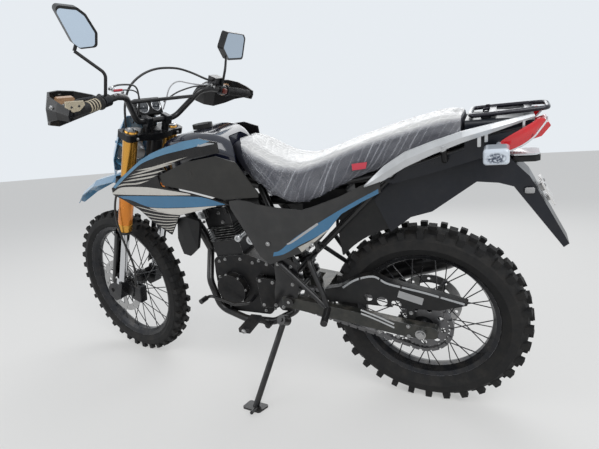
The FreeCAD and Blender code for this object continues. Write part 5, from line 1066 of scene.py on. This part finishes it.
# %% [markdown]
# ## The film over the seat
# The machine is new, and a sheet of clear film still wraps its seat. It is milky where it is slack,
# almost clear where it clings, and it has sharp creases that fan out from the nose. The sheet is laid
# as a grid: one way runs from the nose to the tail, the other goes up one flank, over the crown and
# down the other flank. A shrinkwrap lays the grid on the pad, and then creases lift it.

# %% Outline of the seat
SEAT_SECTIONS = np.array(((640, 46, 42, 918, 962), (580, 90, 68, 868, 984), (520, 114, 84, 814, 956),
                          (440, 128, 92, 772, 912), (360, 134, 96, 762, 896), (240, 138, 96, 803, 924),
                          (120, 136, 92, 853, 960), (0, 130, 84, 888, 990), (-138, 112, 72, 930, 1006)),
                          float)


def seat_section(x, count):
    """Points round a section of the seat from its left low edge over the crown to the right one: the
    four corners' line is evened out, then each point is averaged with its neighbours to round it."""
    table = SEAT_SECTIONS[::-1]
    edge_half, crown_half, low, high = (np.interp(x, table[:, 0], table[:, k]) for k in (1, 2, 3, 4))
    corners_y = np.stack([edge_half, crown_half, -crown_half, -edge_half])
    corners_z = np.stack([low, high, high, low])
    runs = np.hypot(np.diff(corners_y, axis=0), np.diff(corners_z, axis=0))
    reach = np.vstack([np.zeros_like(runs[:1]), np.cumsum(runs, axis=0)])
    want = np.linspace(0, 1, count)[:, None] * reach[-1]
    y = np.stack([np.interp(want[:, k], reach[:, k], corners_y[:, k]) for k in range(len(x))])
    z = np.stack([np.interp(want[:, k], reach[:, k], corners_z[:, k]) for k in range(len(x))])
    window = max(3, count // 9) | 1
    for line in (y, z):
        padded = np.pad(line, ((0, 0), (window // 2, window // 2)), mode="reflect", reflect_type="odd")
        total = np.cumsum(np.pad(padded, ((0, 0), (1, 0))), axis=1)
        line[:] = (total[:, window:] - total[:, :-window]) / window
    return y, z


# %% Creases
FILM_ROWS, FILM_COLUMNS = 260, 181
MIDDLE_COLUMN = FILM_COLUMNS // 2
FILM_FRONT = ((0.0, 500), (0.12, 540), (0.22, 566), (0.32, 576), (0.42, 598), (0.5, 604))
FILM_REAR = -128
NOSE_AHEAD, FAN_CENTRE_UP = 640, 1040


def ridges(place, spacing, sharp, seed, drift):
    """Crease pattern along one coordinate: at uneven steps a ridge stands, whose height falls off
    with distance as a power, so that its top is sharp. Drift bends each ridge."""
    spread = np.random.default_rng(seed)
    field = np.zeros_like(place)
    count = int((place.max() - place.min()) / spacing) + 2
    middles = place.min() + (np.arange(count) + spread.uniform(-0.4, 0.4, count)) * spacing
    strength, width = spread.uniform(0.25, 1.0, count), spread.uniform(0.10, 0.26, count) * spacing
    bend = spread.uniform(-1, 1, count)
    for middle, power, wide, lean in zip(middles, strength, width, bend):
        gap = np.abs(place + drift * lean - middle)
        field = np.maximum(field, power * np.clip(1 - gap / wide, 0, 1) ** sharp)
    return field


# %% [markdown]
# The grid starts from the seat's own sections. Each row is one station along the seat, except that the
# front edge hangs back on both flanks, so every column is read again at its own places ahead.

# %% Film laid on the pad
share_along = np.linspace(0, 1, FILM_ROWS)[:, None]
share_round = np.linspace(0, 1, FILM_COLUMNS)[None, :]
from_edge = np.minimum(share_round, 1 - share_round)
front = np.interp(from_edge, *np.array(FILM_FRONT).T)
ahead = front + (FILM_REAR - front) * share_along
section_y, section_z = seat_section(ahead[:, MIDDLE_COLUMN], FILM_COLUMNS)
rows_y = np.empty_like(ahead)
rows_z = np.empty_like(ahead)
order = np.argsort(ahead[:, MIDDLE_COLUMN])
stations = ahead[order, MIDDLE_COLUMN]
for column in range(FILM_COLUMNS):
    rows_y[:, column] = np.interp(ahead[:, column], stations, section_y[order, column])
    rows_z[:, column] = np.interp(ahead[:, column], stations, section_z[order, column])
film_grid = np.stack([ahead, rows_y, rows_z], -1)
film_points, film_faces = skin(film_grid)
film_mesh = bpy.data.meshes.new("seat_film")
film_mesh.from_pydata(carried(film_points, BIKE).tolist(), [], film_faces)
film = bpy.data.objects.new("seat_film", film_mesh)
bpy.context.collection.objects.link(film)
wrap = film.modifiers.new("lay", "SHRINKWRAP")
wrap.target, wrap.offset = seat_pad, 0.0022
wrap.wrap_method, wrap.wrap_mode = "NEAREST_SURFACEPOINT", "OUTSIDE_SURFACE"
settled(film)
print("film points", len(film.data.vertices))

# %% [markdown]
# Two families of creases lift the film. On the flanks they fan out from a centre above the nose and
# hang straight behind it. On the crown they cross one another. The slack between them is a slow wave.

# %% Film creased and measured
from_crown = np.abs(share_round - 0.5) * 2
flank = np.clip((from_crown - 0.40) / 0.14, 0, 1)
fan = np.arctan2(rows_z - FAN_CENTRE_UP, NOSE_AHEAD - ahead) * 420
drapes = ridges(fan, 17, 2.2, 11, 9 * np.sin(from_crown * 5 + ahead / 60))
hang = ridges(ahead - 120 * from_crown, 24, 2.6, 12, 12 * np.sin(from_crown * 6 + 1))
near_nose = np.clip((ahead - 330) / 140, 0, 1)
side_creases = flank * np.maximum(drapes * near_nose, hang * (1 - near_nose * 0.6))
wave = 7 * np.sin(ahead / 21 + 3) + 5 * np.sin(ahead / 9.0)
crinkle = ridges(share_round * 560 + wave, 15, 1.6, 13, 6 * np.sin(ahead / 33))
cross = ridges(ahead + 14 * np.sin(share_round * 19), 19, 2.0, 14, 8 * np.sin(share_round * 31))
crown_creases = (1 - flank) * np.maximum(crinkle * 0.8, cross * 0.55)
creases = np.maximum(side_creases, crown_creases)
height = 0.0042 * side_creases + 0.0028 * crown_creases
slack = 0.0012 * (1 + np.sin(ahead / 47 + 4 * share_round) * np.sin(share_round * 17 + ahead / 90))
lifted = vertex_rows(film.data, "co") + vertex_rows(film.data, "normal") * (height + slack).reshape(-1, 1)
move_points(film.data, lifted)
for name, values in (("crease", creases), ("crown", np.broadcast_to(1 - flank, creases.shape))):
    layer = film.data.attributes.new(name, "FLOAT", "POINT")
    layer.data.foreach_set("value", values.astype(np.float32).ravel())
film.data.shade_smooth()

# %% Film material
film_paint = bpy.data.materials.new("film")
film_paint.use_nodes = True
film_tree = film_paint.node_tree
film_shader = film_tree.nodes["Principled BSDF"]
where = upright(film_tree, BIKE)
cloudy = node(film_tree, "TexNoise", {"Vector": where, "Scale": 16.0, "Detail": 5.0}).outputs["Fac"]
crease_mask, crown_mask = attribute(film_tree, "crease"), attribute(film_tree, "crown")
milk = math_node(film_tree, "MULTIPLY_ADD", cloudy, 0.17, 0.00)
milk = math_node(film_tree, "MULTIPLY_ADD", crown_mask, 0.64, milk)
milk = math_node(film_tree, "MULTIPLY_ADD", crease_mask, 0.48, milk, clamp=True)
film_tree.links.new(milk, film_shader.inputs["Alpha"])
film_shade = blend_colour(film_tree, cloudy, (0.50, 0.51, 0.58, 1), (0.78, 0.79, 0.82, 1))
film_shade = blend_colour(film_tree, crown_mask, film_shade, (0.84, 0.83, 0.81, 1))
film_tree.links.new(film_shade, film_shader.inputs["Base Color"])
film_tree.links.new(math_node(film_tree, "MULTIPLY_ADD", cloudy, 0.14, 0.10),
                    film_shader.inputs["Roughness"])
fine_creases = node(film_tree, "TexNoise", {"Vector": where, "Scale": 90.0, "Detail": 6.0,
                                            "Distortion": 1.4})
film_bump = node(film_tree, "Bump", {"Height": fine_creases.outputs["Fac"], "Distance": 0.0010,
                                     "Strength": 1.0})
film_tree.links.new(film_bump.outputs[0], film_shader.inputs["Normal"])
film_shader.inputs["Coat Weight"].default_value = 0.2
film_paint.diffuse_color = (0.7, 0.7, 0.74, 1)
MATERIALS["film"] = film_paint
film.data.materials.append(film_paint)
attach(film, "chassis")

# %% [markdown]
# ## Inner mudguard
# Between the side covers and the rear wheel a thin black mudguard closes the view. Its rear edge
# follows the tyre with room to turn, and a curved sheet joins its two side walls.

# %% Inner mudguard
TYRE_ROOM, GUARD_INSIDE, GUARD_WALL = 347.0, 46, 3
arc = np.radians(np.linspace(74, 42, 20))
arc_line = np.stack([TYRE_ROOM * np.cos(arc), REAR_AXLE_UP + TYRE_ROOM * np.sin(arc)], -1)
lower_end = (arc_line[-1, 0] + 6, arc_line[-1, 1])
outer_line = smooth_line([(112, 806), (150, 790), (186, 772), (224, 744), (250, 706), (268, 660),
                          lower_end], 20)
GUARD_OUTSIDE = GUARD_INSIDE + GUARD_WALL


def rails_at(places):
    """Rails of a bar: each is a line seen from the side, set at its own distance to the left."""
    return [np.insert(line, 1, y, axis=1) for y, line in places]


walls = [bar(rails_at(((side * GUARD_INSIDE, arc_line), (side * GUARD_OUTSIDE, arc_line),
                       (side * GUARD_OUTSIDE, outer_line), (side * GUARD_INSIDE, outer_line))))
         for side in (1, -1)]
thick = np.stack([np.cos(arc), np.sin(arc)], -1) * 2.5
sheet = rails_at(((-GUARD_INSIDE, arc_line), (GUARD_INSIDE, arc_line), (GUARD_INSIDE, arc_line + thick),
                  (-GUARD_INSIDE, arc_line + thick)))
make_piece("inner_mudguard", "black_plastic", "chassis", walls + [bar(sheet)])
print("mudguard arc from", arc_line[0].round(), "to", arc_line[-1].round())

# %% Bare tag on the film
TAG = (((174, 119.5, 899), (171, 126, 881)), ((127, 119, 903), (131, 125, 885)))
(upper_rear, lower_rear), (upper_front, lower_front) = np.array(TAG, float)
tag_rails = [[corner, corner + (0, 1.2, 0.4)]
             for corner in (upper_rear, lower_rear, lower_front, upper_front)]
make_piece("film_tag", "tag_red", "chassis", [bar(tag_rails)])

# %% [markdown]
# ## Tail
# Behind the seat lies a rack of bent tube, drawn as one curve and its mirror image. The tail light
# wraps round the tail's sides as a bulged red shell with a clear border. A lamp in a black shell
# stands on the fender's bend, over a pale bracket for a plate, left blank.

# %% Rack, side lenses and the lamp over the plate
RACK_LOOP = [(-150, -3, 1003), (-150, 40, 1003), (-154, 60, 1003), (-172, 67, 1003), (-255, 61, 1005),
             (-316, 52, 1006), (-331, 44, 1006), (-335, 30, 1006), (-335, -3, 1006)]
rack = both(pipe(RACK_LOOP, 6.0, 90, 14))
rack += [box_part((x - 9, -half, 1000), (x + 9, half, 1005)) for x, half in ((-205, 62), (-290, 55))]
for ahead, half in ((-190, 58), (-300, 47)):
    rack += both(turned([(-2, 0), (-2, 5), (7, 5), (8.5, 3.6), (8.5, 0)], (ahead, half, 1004), (0, 0, 1),
                        14))
for y in (-52, 52):
    rack.append(box_part((-199, y - 6, 990), (-177, y + 6, 1003)))
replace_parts(make_piece("rack_tubes", "rack_tube", "chassis", rack), "rear_rack")

LENS_TOP = [(-223, 108.8, 929), (-230, 108.8, 942), (-268, 108.8, 965), (-294, 107, 980), (-312, 99, 990),
            (-324, 90, 988)]
LENS_LOW = [(-233, 108.8, 919), (-248, 108.8, 915), (-276, 108.8, 928), (-299, 105, 945), (-314, 97, 963),
            (-328, 88, 982)]
top, low = smooth_line(LENS_TOP, 40), smooth_line(LENS_LOW, 40)
inwards = np.array((0, -3.0, 0))
bulge = np.array((0, 3.5, 0)) * np.sin(np.linspace(0, np.pi, 40))[:, None]
lens = bar([top, top * 0.67 + low * 0.33 + bulge, top * 0.33 + low * 0.67 + bulge, low, low + inwards,
            top + inwards])
make_piece("tail_side_lens", "red_lens", "chassis", both(lens), crease=50)
make_piece("tail_light_edge", "clear_lens", "chassis",
           both(pipe([(x - 1, y - 1.5, z - 2) for x, y, z in LENS_LOW[1:]] + [(-330, 86, 990)], 2.6)))

make_piece("plate_lamp_shell", "black_plastic", "chassis",
           [box_part((-324, -36, 861), (-246, 36, 881), 0.3)])
make_piece("plate_lamp", "clear_lens", "chassis", [box_part((-322, -34, 880), (-248, 34, 887), 0.3)])

# %% Plate bracket and rail tabs
DOWN_FENDER, OFF_FENDER = np.array((-0.4615, 0, -0.8872)), np.array((-0.8872, 0, 0.4615))
PLATE_MIDDLE = np.array((-342.0, 0, 780.0)) + DOWN_FENDER * 8


def on_plate(part):
    """A part drawn flat (down the fender, across, off its face), laid on the fender's slope."""
    points = np.asarray(part[0], float)
    return (PLATE_MIDDLE + points[:, :1] * DOWN_FENDER + points[:, 1:2] * (0, 1, 0)
            + points[:, 2:] * OFF_FENDER, part[1])


bracket = [box_part((-38, -40, -2), (38, 40, 2), 0.1), box_part((-30, -28, -12), (-8, 28, -1), 0.2),
           box_part((12, -24, -11), (24, 24, -1), 0.2), box_part((-44, -12, -3), (-36, 12, 1), 0.2)]
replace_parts(make_piece("plate_bracket", "plate", "chassis", [on_plate(part) for part in bracket]),
            "number_plate")
bolts = [on_plate(part) for y in (-24, 24) for part in screw((-22, y, 2), (0, 0, 1), 4, 3)]
make_piece("plate_screws", "steel", "chassis", bolts)
make_piece("fender_clips", "label_grey", "chassis", both(box_part((-312, 55, 782), (-288, 61.5, 798), 0.3)))
tabs = [box_part((-181, 128, 934), (-172, 136, 966)), box_part((-197, 121, 944), (-189, 129, 972)),
        box_part((-282, 91, 960), (-276, 97, 986))]
make_piece("rail_tabs", "silver_cast", "chassis", [part for tab in tabs for part in both(tab)])
print("tail pieces made")

# %% [markdown]
# ## Floor
# The floor is part of the stage, not of the machine. It is a plain pale plane, large enough to reach
# the horizon, and it keeps the machine's shadow.

# %% Floor
floor_mesh = bpy.data.meshes.new("floor")
floor_mesh.from_pydata([(-30, -30, 0), (30, -30, 0), (30, 30, 0), (-30, 30, 0)], [], [(0, 1, 2, 3)])
floor = bpy.data.objects.new("floor", floor_mesh)
bpy.context.collection.objects.link(floor)
floor_paint = bpy.data.materials.new("floor")
floor_paint.use_nodes = True
floor_shader = floor_paint.node_tree.nodes["Principled BSDF"]
floor_shader.inputs["Base Color"].default_value = (0.76, 0.75, 0.73, 1)
floor_shader.inputs["Roughness"].default_value = 0.9
floor_tree = floor_paint.node_tree
glow = node(floor_tree, "Emission", {"Color": (0.80, 0.80, 0.79, 1), "Strength": 1.0})
seen_share = math_node(floor_tree, "MULTIPLY", seen_directly(floor_tree), 0.45)
paler = node(floor_tree, "MixShader", {0: seen_share, 1: floor_shader.outputs[0], 2: glow.outputs[0]})
floor_tree.links.new(paler.outputs[0], floor_tree.nodes["Material Output"].inputs[0])
floor_mesh.materials.append(floor_paint)
